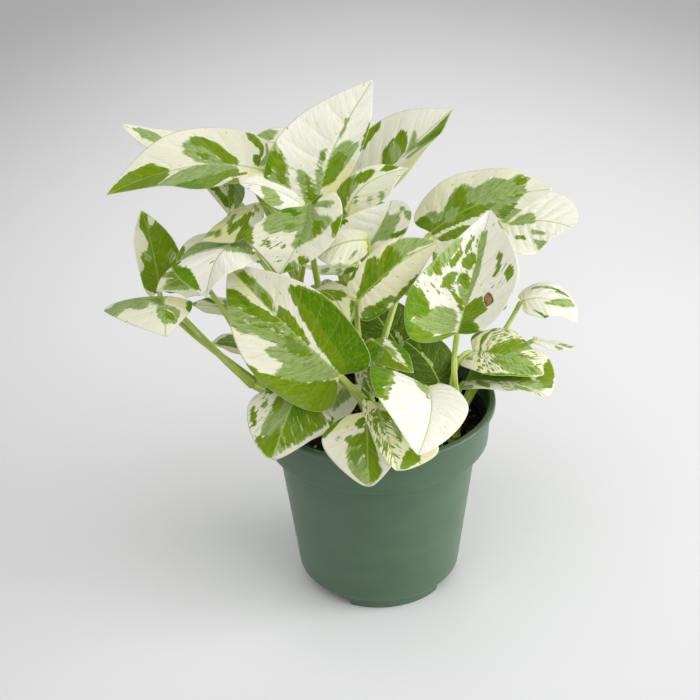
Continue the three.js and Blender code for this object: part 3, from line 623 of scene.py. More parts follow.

# The ground tone of each blade, then its patches in the order they cover each other. A point
# is given across in hundredths of the half width, left below 0, and along the veins in
# hundredths of the blade from stalk to tip.
# Yellow grounds and patches are partly the cream's own yellow and partly painted light for the light through
# and between the leaves in shade. The ground of blades deep among the others is painted shade.
MARKS = {
    "a1": ("green", [
        ("cream", (-105, 101), (-76, 98), (-82, 88), (-78, 82), (-45, 80), (-20, 75), (-22, 70), (-40, 65),
         (-46, 61), (-70, 55), (-60, 47), (-70, 41), (-105, 33)),
        ("grey", (-60, 58), (-40, 64), (-10, 62), (-30, 54), (-55, 53)),
        ("cream", (22, 92), (48, 85), (80, 86), (105, 89), (105, 97), (60, 96)),
        ("grey", (10, 96), (18, 86), (60, 82), (45, 86), (20, 94)),
        ("yellow", (-105, 26), (-60, 16), (-60, 2), (-105, 2)),
        ("cream", (-105, 25), (-80, 20), (-60, 13), (-60, 5), (-105, 2)),
        ("grey", (48, 56), (60, 60), (88, 59), (84, 50), (58, 46)),
    ]),
    "a2": ("cream", [
        ("grey", (-85, 85), (-60, 92), (-20, 90), (30, 88), (50, 80), (90, 80), (80, 66), (60, 64),
         (-40, 60), (-55, 45), (-65, 50), (-75, 70)),
        ("green", (-60, 80), (-30, 85), (20, 80), (60, 78), (75, 70), (30, 55), (20, 20), (0, 5), (-20, 20),
         (-30, 50), (-40, 66)),
        ("cream", (35, 90), (60, 92), (90, 85), (60, 82), (40, 84)),
        ("deep", (95, 90), (105, 90), (105, 70), (95, 72)),
    ]),
    "a3": ("cream", [
        ("yellow", (-105, 66), (0, 66), (0, 5), (-105, 5)),
        ("grey", (-80, 88), (-75, 88), (-20, 90), (5, 90), (20, 84), (18, 75), (10, 68), (-30, 69),
         (-68, 68), (-74, 76)),
        ("green", (-60, 84), (-10, 87), (4, 84), (2, 78), (-10, 76), (-50, 77)),
        ("deep", (-105, 60), (-88, 60), (-76, 48), (-90, 34), (-105, 28)),
        ("grey", (2, 68), (6, 70), (14, 66), (26, 60), (36, 68), (50, 69), (58, 64), (68, 58), (80, 64),
         (95, 68), (105, 66), (105, 46), (88, 50), (80, 36), (105, 22), (105, 3), (20, 3), (2, 5)),
        ("green", (4, 66), (10, 66), (22, 60), (30, 50), (15, 46), (6, 50)),
        ("cream", (92, 48), (105, 46), (105, 20), (85, 24), (80, 35)),
        ("green", (-12, 2), (-8, 30), (-3, 45), (0, 40), (0, 2)),
    ]),
    "a4": ("cream", [
        ("grey", (-60, 30), (-20, 50), (0, 70), (20, 50), (60, 40), (40, 20), (0, 10), (-40, 15)),
        ("deep", (35, 65), (60, 68), (105, 72), (105, 60), (60, 62), (35, 60)),
        ("green", (-105, 92), (0, 96), (105, 90), (105, 101), (-105, 101)),
    ]),
    "a5": ("cream", [
        ("green", (-60, 20), (-50, 60), (-70, 85), (-20, 92), (40, 85), (80, 60), (60, 20), (0, 5)),
        ("grey", (-20, 30), (0, 70), (20, 30)),
    ]),
    "b1": ("cream", [
        ("yellow", (-45, 30), (-15, 34), (10, 22), (25, 0), (-45, 0)),
        ("green", (-105, 77), (-50, 77), (0, 79), (60, 80), (70, 86), (82, 88), (85, 94), (95, 101),
         (-105, 101)),
        ("grey", (-105, 76), (-60, 76), (-15, 72), (0, 66), (0, 50), (-8, 40), (-20, 38), (-45, 44),
         (-105, 50)),
        ("green", (-105, 44), (-105, 66), (-75, 64), (-55, 58), (-45, 52), (-20, 44), (-15, 38), (-28, 36),
         (-45, 36), (-60, 42)),
        ("deep", (-105, 50), (-105, 66), (-80, 64), (-65, 60), (-80, 52)),
        ("green", (-105, 28), (-105, 38), (-80, 37), (-55, 36), (-58, 33), (-80, 30)),
        ("green", (-45, 36), (-32, 36), (-26, 28), (-34, 28)),
        ("grey", (3, 40), (3, 60), (12, 65), (45, 65), (68, 61), (75, 57), (80, 54), (72, 50), (60, 46),
         (30, 42), (10, 38)),
        ("green", (3, 40), (3, 50), (20, 52), (45, 52), (60, 57), (75, 57), (80, 54), (72, 49), (50, 46),
         (20, 40)),
        ("green", (10, 58), (15, 62), (40, 60), (30, 56)),
        ("grey", (14, 15), (60, 15), (95, 18), (70, 9), (30, 9)),
        ("deep", (10, 18), (14, 22), (25, 25), (40, 24), (50, 20), (38, 17), (20, 15)),
        ("green", (45, 18), (60, 20), (80, 27), (95, 30), (97, 26), (80, 20), (60, 17)),
        ("deep", (-105, 1), (-105, 9), (-60, 8), (-48, 3)),
    ]),
    "b2": ("cream", [
        ("grey", (-50, 80), (-10, 90), (40, 90), (70, 82), (50, 70), (0, 68), (-40, 70)),
    ]),
    "b3": ("cream", [
        ("grey", (-105, 30), (-60, 45), (-40, 60), (-50, 80), (-70, 88), (-105, 86)),
        ("green", (-60, 30), (-40, 60), (-45, 85), (0, 92), (60, 85), (80, 60), (60, 30), (0, 10)),
        ("cream", (-15, 62), (-8, 72), (5, 78), (25, 76), (40, 68), (50, 55), (0, 55)),
    ]),
    "b4": ("white", [
        ("grey", (-105, 65), (-60, 72), (-25, 80), (0, 80), (-5, 70), (-25, 60), (-50, 50), (-75, 48),
         (-105, 55)),
        ("grey", (88, 55), (105, 60), (105, 30), (88, 35)),
    ]),
    "b5": ("cream", [
        ("yellow", (-105, 100), (105, 100), (105, 34), (30, 38), (0, 36), (-40, 60), (-105, 50)),
        ("grey", (-70, 84), (-40, 92), (-10, 97), (60, 97), (105, 94), (105, 89), (50, 91), (10, 90),
         (-30, 84), (-60, 82)),
        ("green", (-50, 86), (-20, 93), (30, 95), (50, 93), (0, 90), (-30, 86)),
        ("green", (-68, 70), (-50, 74), (-20, 75), (0, 78), (18, 75), (40, 66), (62, 58), (58, 54),
         (30, 64), (0, 73), (-25, 71), (-18, 62), (-8, 58), (-10, 48), (-22, 36), (-30, 36), (-24, 50),
         (-40, 60), (-62, 66)),
        ("green", (-105, 56), (-70, 56), (-35, 55), (-28, 50), (-45, 44), (-72, 40), (-105, 48)),
        ("green", (92, 54), (105, 52), (105, 46), (90, 49)),
        ("grey", (-32, 20), (-22, 28), (0, 37), (20, 28), (40, 19), (20, 22), (0, 31), (-15, 24)),
    ]),
    "b6": ("white", [
        ("grey", (0, 66), (12, 58), (22, 45), (32, 30), (38, 20), (55, 12), (105, 6), (105, 1), (0, 0),
         (-10, 6), (-25, 18), (-40, 30), (-35, 40), (-30, 55), (-15, 64)),
        ("deep", (0, 62), (10, 50), (15, 35), (22, 20), (10, 14), (-5, 28), (-10, 42), (-6, 55)),
        ("green", (-45, 32), (-25, 20), (-5, 8), (-15, 4), (-30, 16), (-42, 26)),
        ("deep", (70, 90), (75, 94), (90, 92), (105, 88), (105, 64), (85, 68), (75, 72), (70, 80)),
        ("deep", (85, 62), (92, 66), (105, 60), (105, 40), (92, 45)),
        ("green", (-105, 20), (-90, 20), (-82, 12), (-90, 6), (-105, 8)),
    ]),
    "b7": ("cream", [
        ("grey", (-45, 72), (-35, 85), (0, 93), (30, 93), (50, 85), (45, 70), (20, 64), (5, 60), (-10, 48),
         (-30, 40)),
        ("green", (40, 93), (105, 93), (105, 72), (80, 76), (60, 82)),
        ("grey", (-105, 8), (-40, 10), (0, 18), (35, 20), (5, 35), (-20, 45), (-40, 35), (-55, 20)),
    ]),
    "c1": ("white", [
        ("yellow", (8, 34), (40, 42), (80, 44), (105, 40), (105, 5), (0, 0)),
        ("grey", (-105, 54), (-90, 51), (-75, 50), (-62, 45), (-55, 35), (-45, 25), (-45, 15), (-105, 15)),
        ("green", (-100, 50), (-80, 50), (-68, 46), (-60, 34), (-70, 34), (-80, 42)),
        ("deep", (-105, 48), (-92, 47), (-86, 42), (-90, 37), (-105, 36)),
        ("grey", (-45, 46), (-38, 47), (-25, 44), (-14, 40), (-4, 30), (-2, 18), (-15, 5), (-40, 5),
         (-30, 20), (-28, 28), (-38, 38)),
        ("green", (-28, 45), (-22, 42), (-14, 34), (-6, 25), (0, 24), (2, 15), (-15, 10), (-22, 20),
         (-22, 32)),
        ("grey", (-20, 63), (-14, 64), (-8, 56), (-2, 45), (2, 34), (2, 25), (-6, 36), (-12, 48),
         (-18, 58)),
        ("green", (-17, 62), (-12, 62), (-7, 53), (-10, 50)),
        ("grey", (3, 66), (25, 67), (45, 65), (60, 60), (78, 57), (82, 53), (76, 48), (66, 43), (55, 38),
         (50, 33), (35, 31), (15, 32), (3, 36)),
        ("green", (3, 58), (20, 61), (42, 57), (58, 50), (56, 42), (50, 34), (30, 32), (5, 36)),
        ("deep", (12, 53), (28, 56), (42, 52), (25, 49)),
        ("grey", (-8, 82), (5, 82), (12, 76), (10, 71), (2, 74), (-2, 79)),
        ("green", (90, 60), (96, 68), (105, 70), (105, 42), (98, 46), (93, 54)),
        ("green", (84, 24), (92, 27), (105, 22), (88, 19)),
    ]),
    "c2": ("cream", [
        ("grey", (20, 85), (90, 90), (95, 75), (80, 65), (60, 76), (40, 80)),
    ]),
    "c3": ("white", [
        ("yellow", (40, 60), (80, 66), (105, 60), (105, 30), (50, 35)),
        ("green", (-61, 71), (-50, 75), (-20, 77), (0, 76), (12, 70), (5, 64), (-10, 62), (-30, 60),
         (-42, 60), (-50, 65)),
        ("grey", (-48, 68), (-30, 73), (0, 74), (8, 70), (-10, 66), (-40, 64)),
        ("grey", (-45, 80), (-20, 82), (10, 82), (30, 76), (25, 70), (10, 78), (-20, 79)),
        ("grey", (30, 72), (30, 80), (45, 88), (60, 95), (105, 101), (105, 74), (80, 68), (50, 64),
         (40, 66), (60, 72), (45, 74)),
        ("green", (40, 75), (50, 82), (62, 94), (105, 97), (105, 74), (75, 73)),
        ("deep", (50, 74), (70, 80), (105, 82), (105, 75), (80, 73)),
        ("green", (-105, 44), (-105, 54), (-88, 54), (-82, 48), (-74, 40), (-80, 40)),
    ]),
    "c4": ("cream", [
        ("yellow", (-50, 60), (0, 50), (60, 30), (105, 25), (105, 0), (-105, 0), (-50, 40)),
        ("deep", (-105, 82), (-105, 91), (-60, 92), (-30, 88), (-50, 84)),
        ("grey", (-95, 50), (-78, 62), (-72, 70), (-40, 68), (-25, 55), (-26, 40), (-30, 30), (-105, 30)),
        ("green", (-76, 74), (-60, 77), (-30, 76), (-14, 72), (-32, 66), (-48, 62), (-55, 56), (-78, 56),
         (-82, 64)),
        ("green", (-105, 36), (-95, 50), (-75, 53), (-45, 50), (-30, 42), (-34, 30), (-105, 30)),
        ("grey", (-42, 30), (-20, 30), (-2, 26), (0, 20), (-20, 13), (-42, 14)),
        ("green", (-30, 27), (-15, 29), (-10, 24), (-22, 22)),
        ("grey", (46, 55), (52, 46), (62, 36), (72, 32), (58, 40), (48, 47)),
        ("grey", (70, 60), (80, 48), (98, 36), (85, 50), (76, 58)),
        ("grey", (5, 55), (10, 52), (22, 38), (14, 42)),
    ]),
    "c5": ("green", [
        ("deep", (-105, 20), (-40, 30), (0, 50), (-20, 80), (-60, 70), (-105, 60)),
        ("cream", (10, 30), (30, 60), (60, 70), (105, 80), (105, 55), (60, 40), (35, 20)),
        ("grey", (-60, 85), (0, 92), (40, 90), (20, 80), (-30, 78)),
    ]),
    "d1": ("cream", [
        ("grey", (-105, 100), (-25, 99), (-18, 93), (-40, 88), (-105, 86)),
        ("deep", (-105, 96), (-60, 97), (-20, 95), (-40, 91), (-105, 90)),
        ("green", (-105, 86), (-70, 86), (-45, 84), (-60, 81), (-105, 81)),
        ("green", (-105, 42), (-105, 56), (-88, 56), (-80, 50), (-86, 44)),
        ("grey", (-75, 45), (-68, 54), (-55, 61), (-45, 66), (-25, 72), (0, 78), (12, 77), (8, 66), (6, 58),
         (25, 59), (40, 57), (50, 60), (60, 56), (64, 46), (72, 34), (85, 22), (105, 12), (105, 3), (5, 3),
         (-5, 3), (-20, 3), (-22, 20), (-30, 40), (-45, 44), (-65, 44)),
        ("green", (-60, 56), (-45, 62), (-30, 58), (-30, 50), (-50, 47)),
        ("green", (15, 50), (20, 56), (32, 54), (30, 46)),
        ("grey", (-82, 30), (-60, 33), (-32, 31), (-25, 20), (-40, 22), (-60, 24)),
        ("yellow", (-105, 22), (-70, 22), (-60, 12), (-105, 8)),
        ("deep", (-105, 2), (-105, 7), (-80, 9), (-60, 14), (-42, 20), (-28, 21), (-25, 14), (-40, 6),
         (-60, 1)),
        ("deep", (10, 28), (16, 33), (24, 31), (34, 24), (50, 17), (75, 12), (105, 9), (105, 4), (65, 8),
         (40, 13), (22, 20)),
        ("green", (86, 62), (92, 70), (105, 74), (105, 26), (92, 32), (84, 45)),
        ("deep", (96, 60), (105, 66), (105, 36), (97, 42)),
        ("specks", (25, 64), (28, 90), (60, 93), (90, 88), (85, 66), (60, 62)),
        ("green", (28, 76), (34, 79), (40, 77), (34, 75)),
        ("green", (60, 68), (64, 74), (70, 75), (66, 69)),
    ]),
    "d2": ("white", [
        ("grey", (3, 80), (10, 78), (40, 72), (60, 74), (62, 60), (55, 50), (60, 42), (45, 36), (30, 38),
         (15, 40), (8, 30), (3, 35)),
        ("grey", (65, 80), (70, 75), (85, 60), (105, 48), (105, 58), (85, 70), (75, 82)),
        ("deep", (55, 44), (70, 42), (105, 42), (105, 38), (75, 36), (60, 38)),
        ("deep", (-105, 60), (-88, 57), (-88, 50), (-105, 45)),
    ]),
    "d3": ("cream", [
        ("grey", (-105, 70), (-92, 68), (-88, 55), (-95, 42), (-105, 45)),
        ("grey", (-75, 45), (-50, 38), (-50, 33), (-62, 36)),
        ("green", (-105, 5), (-85, 12), (-70, 10), (-95, 3)),
    ]),
    "d4": ("cream", [
        ("grey", (-95, 66), (-60, 72), (-20, 70), (-30, 66), (-80, 62)),
        ("grey", (-105, 42), (-60, 46), (-30, 56), (-25, 48), (-60, 40)),
        # Painted shade: this deep patch stands for shade falling on the blade
        ("deep", (-105, 36), (-20, 34), (-12, 20), (-20, 8), (-60, 5), (-105, 5)),
    ]),
    "d5": ("yellow", [
        ("cream", (-70, 90), (20, 92), (30, 74), (-20, 72), (-60, 74)),
        ("green", (-65, 66), (-50, 70), (-30, 72), (0, 74), (18, 68), (15, 50), (5, 40), (-15, 45),
         (-25, 55), (-60, 62)),
        ("flecks", (-65, 66), (-50, 70), (0, 74), (18, 68), (15, 50), (-25, 55)),
        ("green", (-105, 52), (-85, 55), (-78, 45), (-95, 30), (-105, 28)),
        ("deep", (-105, 90), (-80, 90), (-76, 74), (-90, 72), (-105, 78)),
    ]),
    "e1": ("cream", [
        ("grey", (-105, 92), (-75, 91), (-50, 90), (-33, 85), (-20, 80), (0, 72), (0, 8), (-8, 10),
         (-20, 18), (-32, 24), (-50, 32), (-66, 40), (-76, 46), (-55, 47), (-50, 50), (-58, 54), (-62, 59),
         (-52, 60), (-38, 57), (-34, 60), (-48, 65), (-60, 69), (-80, 71), (-90, 74), (-105, 78)),
        ("yellow", (-75, 98), (-50, 94), (-25, 84), (-5, 78), (5, 98)),
        ("green", (-105, 91), (-60, 91), (-40, 87), (-25, 82), (-8, 76), (0, 70), (-14, 70), (-30, 74),
         (-50, 78), (-60, 82), (-80, 84), (-105, 84)),
        ("green", (-70, 79), (-60, 76), (-25, 68), (-40, 72), (-62, 74)),
        ("deep", (-60, 88), (-40, 86), (-30, 80), (-45, 80)),
        ("green", (-28, 70), (-15, 68), (-12, 60), (-20, 63)),
        ("green", (-30, 58), (-10, 58), (-3, 50), (-8, 44), (-15, 46), (-28, 54)),
        ("specks", (-95, 90), (-50, 90), (0, 72), (0, 30), (-30, 40), (-50, 66), (-90, 76)),
        ("green", (-105, 56), (-98, 56), (-90, 50), (-75, 44), (-60, 36), (-45, 30), (-35, 25), (-28, 20),
         (-20, 12), (-40, 4), (-105, 2)),
        ("green", (3, 50), (8, 50), (12, 55), (20, 60), (27, 65), (30, 70), (25, 73), (12, 73), (3, 72)),
        ("grey", (3, 96), (50, 96), (75, 94), (60, 90), (45, 86), (35, 80), (28, 77), (8, 73), (3, 75)),
        ("green", (3, 92), (40, 96), (68, 93), (45, 88), (20, 88)),
        ("green", (2, 80), (22, 84), (28, 80), (18, 76), (3, 76)),
        ("green", (5, 1), (6, 20), (12, 38), (16, 46), (28, 54), (42, 62), (55, 67), (72, 70), (85, 70),
         (92, 64), (97, 55), (105, 42), (105, 1)),
        ("deep", (30, 12), (38, 32), (42, 42), (55, 50), (62, 58), (66, 66), (80, 69), (90, 62), (95, 50),
         (100, 38), (100, 5), (40, 3)),
    ]),
    "e2": ("cream", [
        ("grey", (-85, 85), (-60, 96), (0, 97), (0, 70), (-50, 56), (-90, 56)),
        ("green", (-88, 66), (-82, 82), (-72, 88), (-55, 93), (-25, 90), (-5, 88), (0, 74), (-20, 66),
         (-60, 58), (-88, 58)),
        ("deep", (-70, 80), (-55, 86), (-45, 80), (-60, 74)),
        ("deep", (-45, 74), (-30, 82), (-8, 82), (0, 74), (-20, 66), (-40, 64)),
        ("flecks", (-95, 56), (-90, 90), (-40, 95), (0, 97), (0, 70), (-50, 56)),
        ("grey", (2, 70), (5, 86), (15, 90), (50, 88), (76, 82), (74, 76), (55, 72), (50, 62), (36, 58),
         (20, 62)),
        ("green", (0, 90), (15, 97), (60, 99), (92, 97), (95, 90), (92, 80), (78, 84), (50, 88), (20, 87)),
        ("green", (25, 70), (45, 72), (50, 66), (46, 58), (36, 58)),
        ("green", (85, 72), (90, 70), (93, 60), (88, 55), (84, 62)),
        ("green", (60, 61), (68, 62), (72, 58), (64, 57)),
        ("specks", (60, 20), (60, 72), (105, 80), (105, 20)),
        ("green", (50, 52), (66, 48), (84, 38), (105, 28), (105, 22), (84, 30), (60, 40)),
        ("deep", (-105, 60), (-94, 58), (-92, 42), (-105, 36)),
        ("green", (-60, 58), (0, 50), (20, 55), (45, 58), (30, 30), (0, 4), (-40, 20)),
    ]),
    "e3": ("cream", [
        ("grey", (-50, 30), (-20, 60), (20, 50), (10, 20), (-20, 15)),
    ]),
    "f1": ("cream", [
        ("yellow", (0, 50), (105, 40), (105, 0), (0, 0)),
        ("grey", (-82, 96), (-84, 88), (-78, 84), (-60, 82), (-45, 78), (-30, 72), (0, 70), (30, 70),
         (55, 70), (62, 78), (76, 84), (76, 92), (66, 98), (30, 99), (-40, 99)),
        ("green", (-84, 92), (-80, 85), (-60, 83), (-45, 79), (-30, 72), (-15, 66), (2, 50), (8, 60),
         (40, 61), (50, 64), (45, 70), (20, 72), (15, 82), (0, 88), (-30, 96), (-70, 96)),
        ("green", (20, 76), (30, 84), (55, 86), (60, 80), (50, 74)),
        ("deep", (3, 34), (6, 48), (12, 53), (23, 50), (24, 40), (18, 32)),
        ("deep", (76, 30), (84, 36), (94, 46), (105, 30), (105, 6), (90, 9), (78, 16)),
        ("green", (45, 60), (53, 62), (52, 58), (40, 59)),
        ("green", (64, 52), (68, 55), (70, 50), (65, 49)),
        ("specks", (20, 36), (60, 34), (70, 62), (60, 56), (30, 50)),
        ("cream", (-105, 96), (-86, 97), (-88, 84), (-105, 78)),
    ]),
    "f2": ("yellow", [
        ("green", (-82, 98), (-85, 84), (-75, 76), (-60, 74), (-45, 76), (-38, 85), (-36, 98)),
        ("grey", (-30, 66), (-22, 66), (-18, 50), (-22, 44), (-28, 55)),
        ("flecks", (-35, 25), (-35, 95), (105, 97), (105, 25)),
        ("specks", (-35, 5), (-35, 25), (105, 25), (105, 5)),
        ("green", (50, 55), (62, 58), (78, 57), (82, 54), (70, 52), (55, 52)),
        ("green", (15, 48), (30, 51), (58, 50), (66, 47), (50, 45), (25, 45)),
        ("green", (0, 36), (10, 40), (40, 42), (60, 40), (40, 38), (15, 33)),
        ("green", (-22, 40), (-8, 44), (0, 38), (-4, 30), (-18, 28)),
        ("green", (5, 78), (60, 81), (70, 77), (30, 75)),
        ("green", (70, 70), (80, 72), (95, 70), (85, 66)),
        ("grey", (0, 30), (0, 62), (30, 60), (20, 30)),
        ("deep", (65, 4), (72, 14), (85, 16), (105, 12), (105, 2), (80, 3)),
    ]),
    "f3": ("white", [
        ("yellow", (-50, 16), (0, 22), (30, 12), (20, 0), (-60, 0)),
        ("green", (66, 50), (72, 60), (85, 68), (105, 67), (105, 8), (85, 13), (72, 22), (64, 34)),
        ("deep", (68, 34), (72, 46), (82, 60), (95, 65), (105, 64), (105, 10), (85, 15), (74, 22)),
        ("grey", (62, 38), (68, 52), (78, 64), (90, 69), (86, 62), (74, 52), (68, 40)),
        ("grey", (1, 20), (4, 40), (6, 56), (10, 50), (20, 45), (27, 30), (22, 15), (12, 6)),
        ("green", (0, 0), (1, 16), (5, 28), (9, 16), (8, 2), (20, 0)),
    ]),
    "f4": ("green", [
        ("deep", (-105, 93), (-58, 92), (-54, 75), (-65, 50), (-80, 30), (-105, 22)),
        ("cream", (-105, 20), (-85, 25), (-70, 38), (-58, 55), (-55, 72), (-50, 88), (-25, 91), (0, 91),
         (20, 89), (36, 82), (25, 75), (10, 78), (-5, 70), (-8, 60), (-5, 50), (-20, 40), (-40, 30),
         (-60, 20), (-105, 12)),
        ("grey", (-30, 70), (10, 80), (20, 72), (0, 62), (-20, 50), (-30, 55)),
        ("flecks", (-20, 75), (40, 72), (60, 60), (0, 50), (-30, 40), (-40, 60)),
        ("grey", (20, 64), (55, 66), (62, 61), (40, 58), (22, 60)),
        # Painted shade: this deep wedge stands for shade falling on the blade
        ("deep", (-5, 50), (20, 52), (55, 57), (105, 50), (105, 30), (60, 30), (20, 42)),
        ("deep", (105, 26), (60, 22), (50, 12), (105, 2)),
    ]),
    "f5": ("cream", [
        ("green", (-10, 82), (30, 85), (60, 80), (30, 74), (0, 66), (-15, 70)),
        ("green", (-75, 95), (-60, 80), (-55, 55), (-50, 40), (-70, 30), (-85, 30), (-60, 60)),
        ("flecks", (-90, 20), (-90, 95), (90, 95), (90, 20)),
    ]),
    "g1": ("yellow", [
        ("grey", (-105, 78), (-100, 95), (-70, 97), (-35, 94), (-10, 85), (-8, 70), (-40, 64), (-75, 60),
         (-92, 72)),
        ("cream", (-40, 88), (-20, 92), (-5, 90), (-8, 80), (-25, 78)),
        ("green", (-80, 60), (-50, 70), (-25, 73), (-8, 71), (5, 62), (8, 48), (2, 35), (0, 20), (-8, 8),
         (-22, 12), (-26, 22), (-35, 30), (-60, 36), (-85, 41), (-84, 45), (-60, 51), (-35, 51), (-45, 53),
         (-62, 56)),
        ("deep", (-70, 62), (-45, 68), (-15, 66), (-10, 60), (-40, 60)),
        ("deep", (-70, 44), (-30, 49), (0, 50), (4, 44), (-10, 34), (-18, 30), (-12, 40), (-45, 40)),
        ("deep", (-105, 34), (-92, 32), (-84, 27), (-95, 20), (-105, 20)),
        ("green", (50, 22), (60, 32), (66, 42), (70, 48), (85, 46), (88, 38), (84, 30), (86, 14), (80, 13),
         (60, 14)),
        ("deep", (66, 38), (72, 44), (80, 36), (84, 26), (76, 20), (68, 26)),
        ("deep", (88, 36), (105, 38), (105, 6), (88, 16)),
        ("green", (85, 50), (84, 60), (92, 70), (105, 74), (105, 42), (90, 44)),
    ]),
    "g2": ("painted_shade", [
        ("grey", (-20, 20), (0, 30), (20, 60), (30, 40), (10, 10)),
    ]),
    "g3": ("painted_shade", [
        ("grey", (-5, 80), (10, 82), (15, 66), (10, 55), (-2, 60)),
        ("flecks", (50, 45), (70, 50), (90, 48), (105, 40), (105, 25), (70, 28), (45, 20)),
        ("cream", (-35, 20), (0, 28), (25, 16), (45, 9), (105, 6), (60, 11)),
    ]),
    "g4": ("cream", [
        ("grey", (-88, 87), (-88, 82), (-70, 80), (-62, 78), (-72, 70), (-58, 64), (-50, 60), (-72, 52),
         (-68, 46), (-45, 42), (-28, 38), (-32, 32), (-50, 28), (-60, 23), (-40, 20), (0, 20), (10, 30),
         (20, 44), (25, 60), (30, 68), (60, 68), (105, 66), (105, 79), (84, 78), (72, 78), (50, 82),
         (30, 86), (5, 90), (-35, 88)),
        ("green", (-68, 50), (-50, 55), (-25, 56), (-5, 62), (5, 66), (15, 74), (28, 70), (32, 60),
         (24, 50), (22, 40), (15, 30), (20, 14), (20, 0), (-105, 0), (-105, 7), (-85, 12), (-70, 18),
         (-55, 21), (-35, 21), (-12, 23), (-12, 32), (-22, 40), (-45, 43)),
        ("grey", (-28, 45), (-15, 52), (0, 50), (18, 44), (5, 36), (-15, 38)),
        ("deep", (-105, 1), (-105, 6), (-85, 10), (-60, 18), (-40, 17), (-60, 8), (-50, 1)),
        ("deep", (0, 55), (4, 60), (12, 58), (10, 52)),
        ("green", (-80, 86), (-60, 88), (-40, 86), (-60, 82), (-80, 82)),
        ("green", (42, 74), (50, 80), (64, 81), (76, 76), (84, 68), (66, 70)),
        ("deep", (60, 76), (72, 77), (82, 70), (72, 70)),
        ("green", (35, 16), (50, 20), (60, 34), (50, 52), (35, 46), (30, 30)),
        ("green", (6, 86), (22, 88), (30, 86), (15, 83)),
    ]),
    "h1": ("white", [
        ("specks", (-100, 56), (-100, 80), (-60, 92), (-10, 90), (0, 60), (-40, 54)),
        ("grey", (-98, 84), (-84, 85), (-74, 79), (-75, 70), (-88, 64), (-103, 68)),
        ("green", (-92, 72), (-80, 71), (-66, 69), (-76, 67), (-92, 68)),
        ("green", (-69, 80), (-56, 81), (-53, 76), (-60, 73), (-70, 76)),
        ("green", (-60, 87), (-48, 89), (-38, 85), (-46, 82), (-58, 85)),
        ("green", (-28, 90), (-20, 89), (-24, 87)),
        ("grey", (-16, 92), (0, 93), (30, 91), (20, 80), (15, 70), (8, 60), (3, 52), (-4, 54), (-10, 60),
         (-20, 64), (-24, 66), (-6, 66), (0, 72), (-4, 84), (-14, 88)),
        ("green", (-42, 78), (-34, 82), (-22, 84), (-8, 83), (-4, 80), (-10, 77), (-24, 76), (-36, 76)),
        ("green", (-32, 70), (-26, 73), (-16, 72), (-5, 70), (0, 66), (-7, 66), (-18, 68), (-28, 68)),
        ("deep", (-34, 73), (-16, 74), (-6, 71), (-20, 69)),
        ("green", (-60, 67), (-52, 71), (-42, 72), (-36, 67), (-44, 62), (-52, 64)),
        ("green", (-34, 65), (-20, 60), (-8, 56), (0, 50), (-4, 48), (-14, 56), (-32, 62)),
        ("green", (-105, 56), (-88, 57), (-75, 55), (-60, 49), (-52, 44), (-62, 40), (-80, 39), (-88, 36),
         (-78, 32), (-68, 26), (-50, 20), (-60, 17), (-80, 14), (-105, 18)),
        ("deep", (-105, 54), (-88, 55), (-75, 53), (-62, 48), (-56, 44), (-64, 41), (-82, 40), (-92, 36),
         (-82, 32), (-90, 26), (-105, 26)),
        ("grey", (-55, 46), (-45, 49), (-25, 50), (-12, 46), (-8, 36), (-10, 22), (-20, 17), (-40, 18),
         (-60, 25), (-76, 32), (-86, 36), (-78, 39), (-60, 40)),
        ("green", (-105, 22), (-60, 17), (-30, 15), (-10, 15), (-3, 8), (-105, 1)),
        ("green", (2, 53), (20, 54), (34, 52), (38, 46), (46, 40), (51, 35), (40, 33), (30, 32), (28, 30),
         (38, 24), (55, 18), (80, 12), (105, 9), (105, -2), (2, -2)),
        ("deep", (4, 34), (18, 32), (26, 28), (38, 20), (60, 13), (105, 7), (105, -2), (4, -2)),
        ("green", (52, 64), (60, 66), (66, 69), (73, 71), (72, 67), (63, 62), (54, 61)),
        ("green", (64, 73), (72, 74), (77, 71), (70, 69), (64, 71)),
        ("green", (76, 58), (83, 60), (88, 58), (88, 51), (81, 51), (77, 54)),
        ("specks", (28, 50), (32, 58), (72, 62), (88, 66), (90, 50), (60, 48)),
        ("brown", (36, 52), (44, 54), (52, 49), (60, 41), (55, 37), (46, 40), (39, 46)),
        ("green", (94, 88), (105, 96), (105, 82)),
    ]),
    "h2": ("yellow", [
        ("flecks", (-105, 36), (-105, 95), (105, 95), (105, 36), (20, 30), (0, 36)),
        ("grey", (-35, 97), (-30, 84), (-35, 78), (-5, 66), (5, 58), (20, 56), (45, 54), (60, 60), (80, 66),
         (90, 75), (85, 95), (60, 98)),
        ("grey", (-105, 72), (-105, 78), (-60, 76), (-20, 72), (0, 68), (10, 56), (8, 44), (0, 38),
         (-10, 46), (-30, 54), (-60, 60), (-80, 63), (-70, 67)),
        ("green", (-105, 73), (-60, 72), (-30, 68), (-5, 60), (8, 50), (0, 40), (-12, 48), (-35, 55),
         (-70, 60), (-80, 65), (-100, 68)),
        ("green", (30, 64), (45, 66), (60, 60), (45, 56)),
        ("green", (-105, 38), (-85, 37), (-65, 33), (-30, 30), (-10, 31), (20, 34), (25, 32), (-5, 27),
         (-35, 26), (-65, 28), (-80, 32), (-105, 35)),
        ("cream", (-60, 18), (-45, 26), (-15, 25), (-8, 16), (-12, 4), (-50, 2), (-70, 8)),
        ("deep", (-105, 24), (-85, 24), (-70, 18), (-78, 8), (-105, 5)),
        ("grey", (45, 24), (58, 28), (62, 16), (50, 12)),
        ("deep", (92, 90), (105, 92), (105, 40), (95, 50)),
    ]),
    "h3": ("cream", [
        ("flecks", (-5, 96), (105, 90), (105, 45), (60, 50), (20, 40), (0, 60)),
        ("green", (-105, 66), (-98, 84), (-85, 93), (-60, 92), (-35, 90), (-35, 84), (-70, 76)),
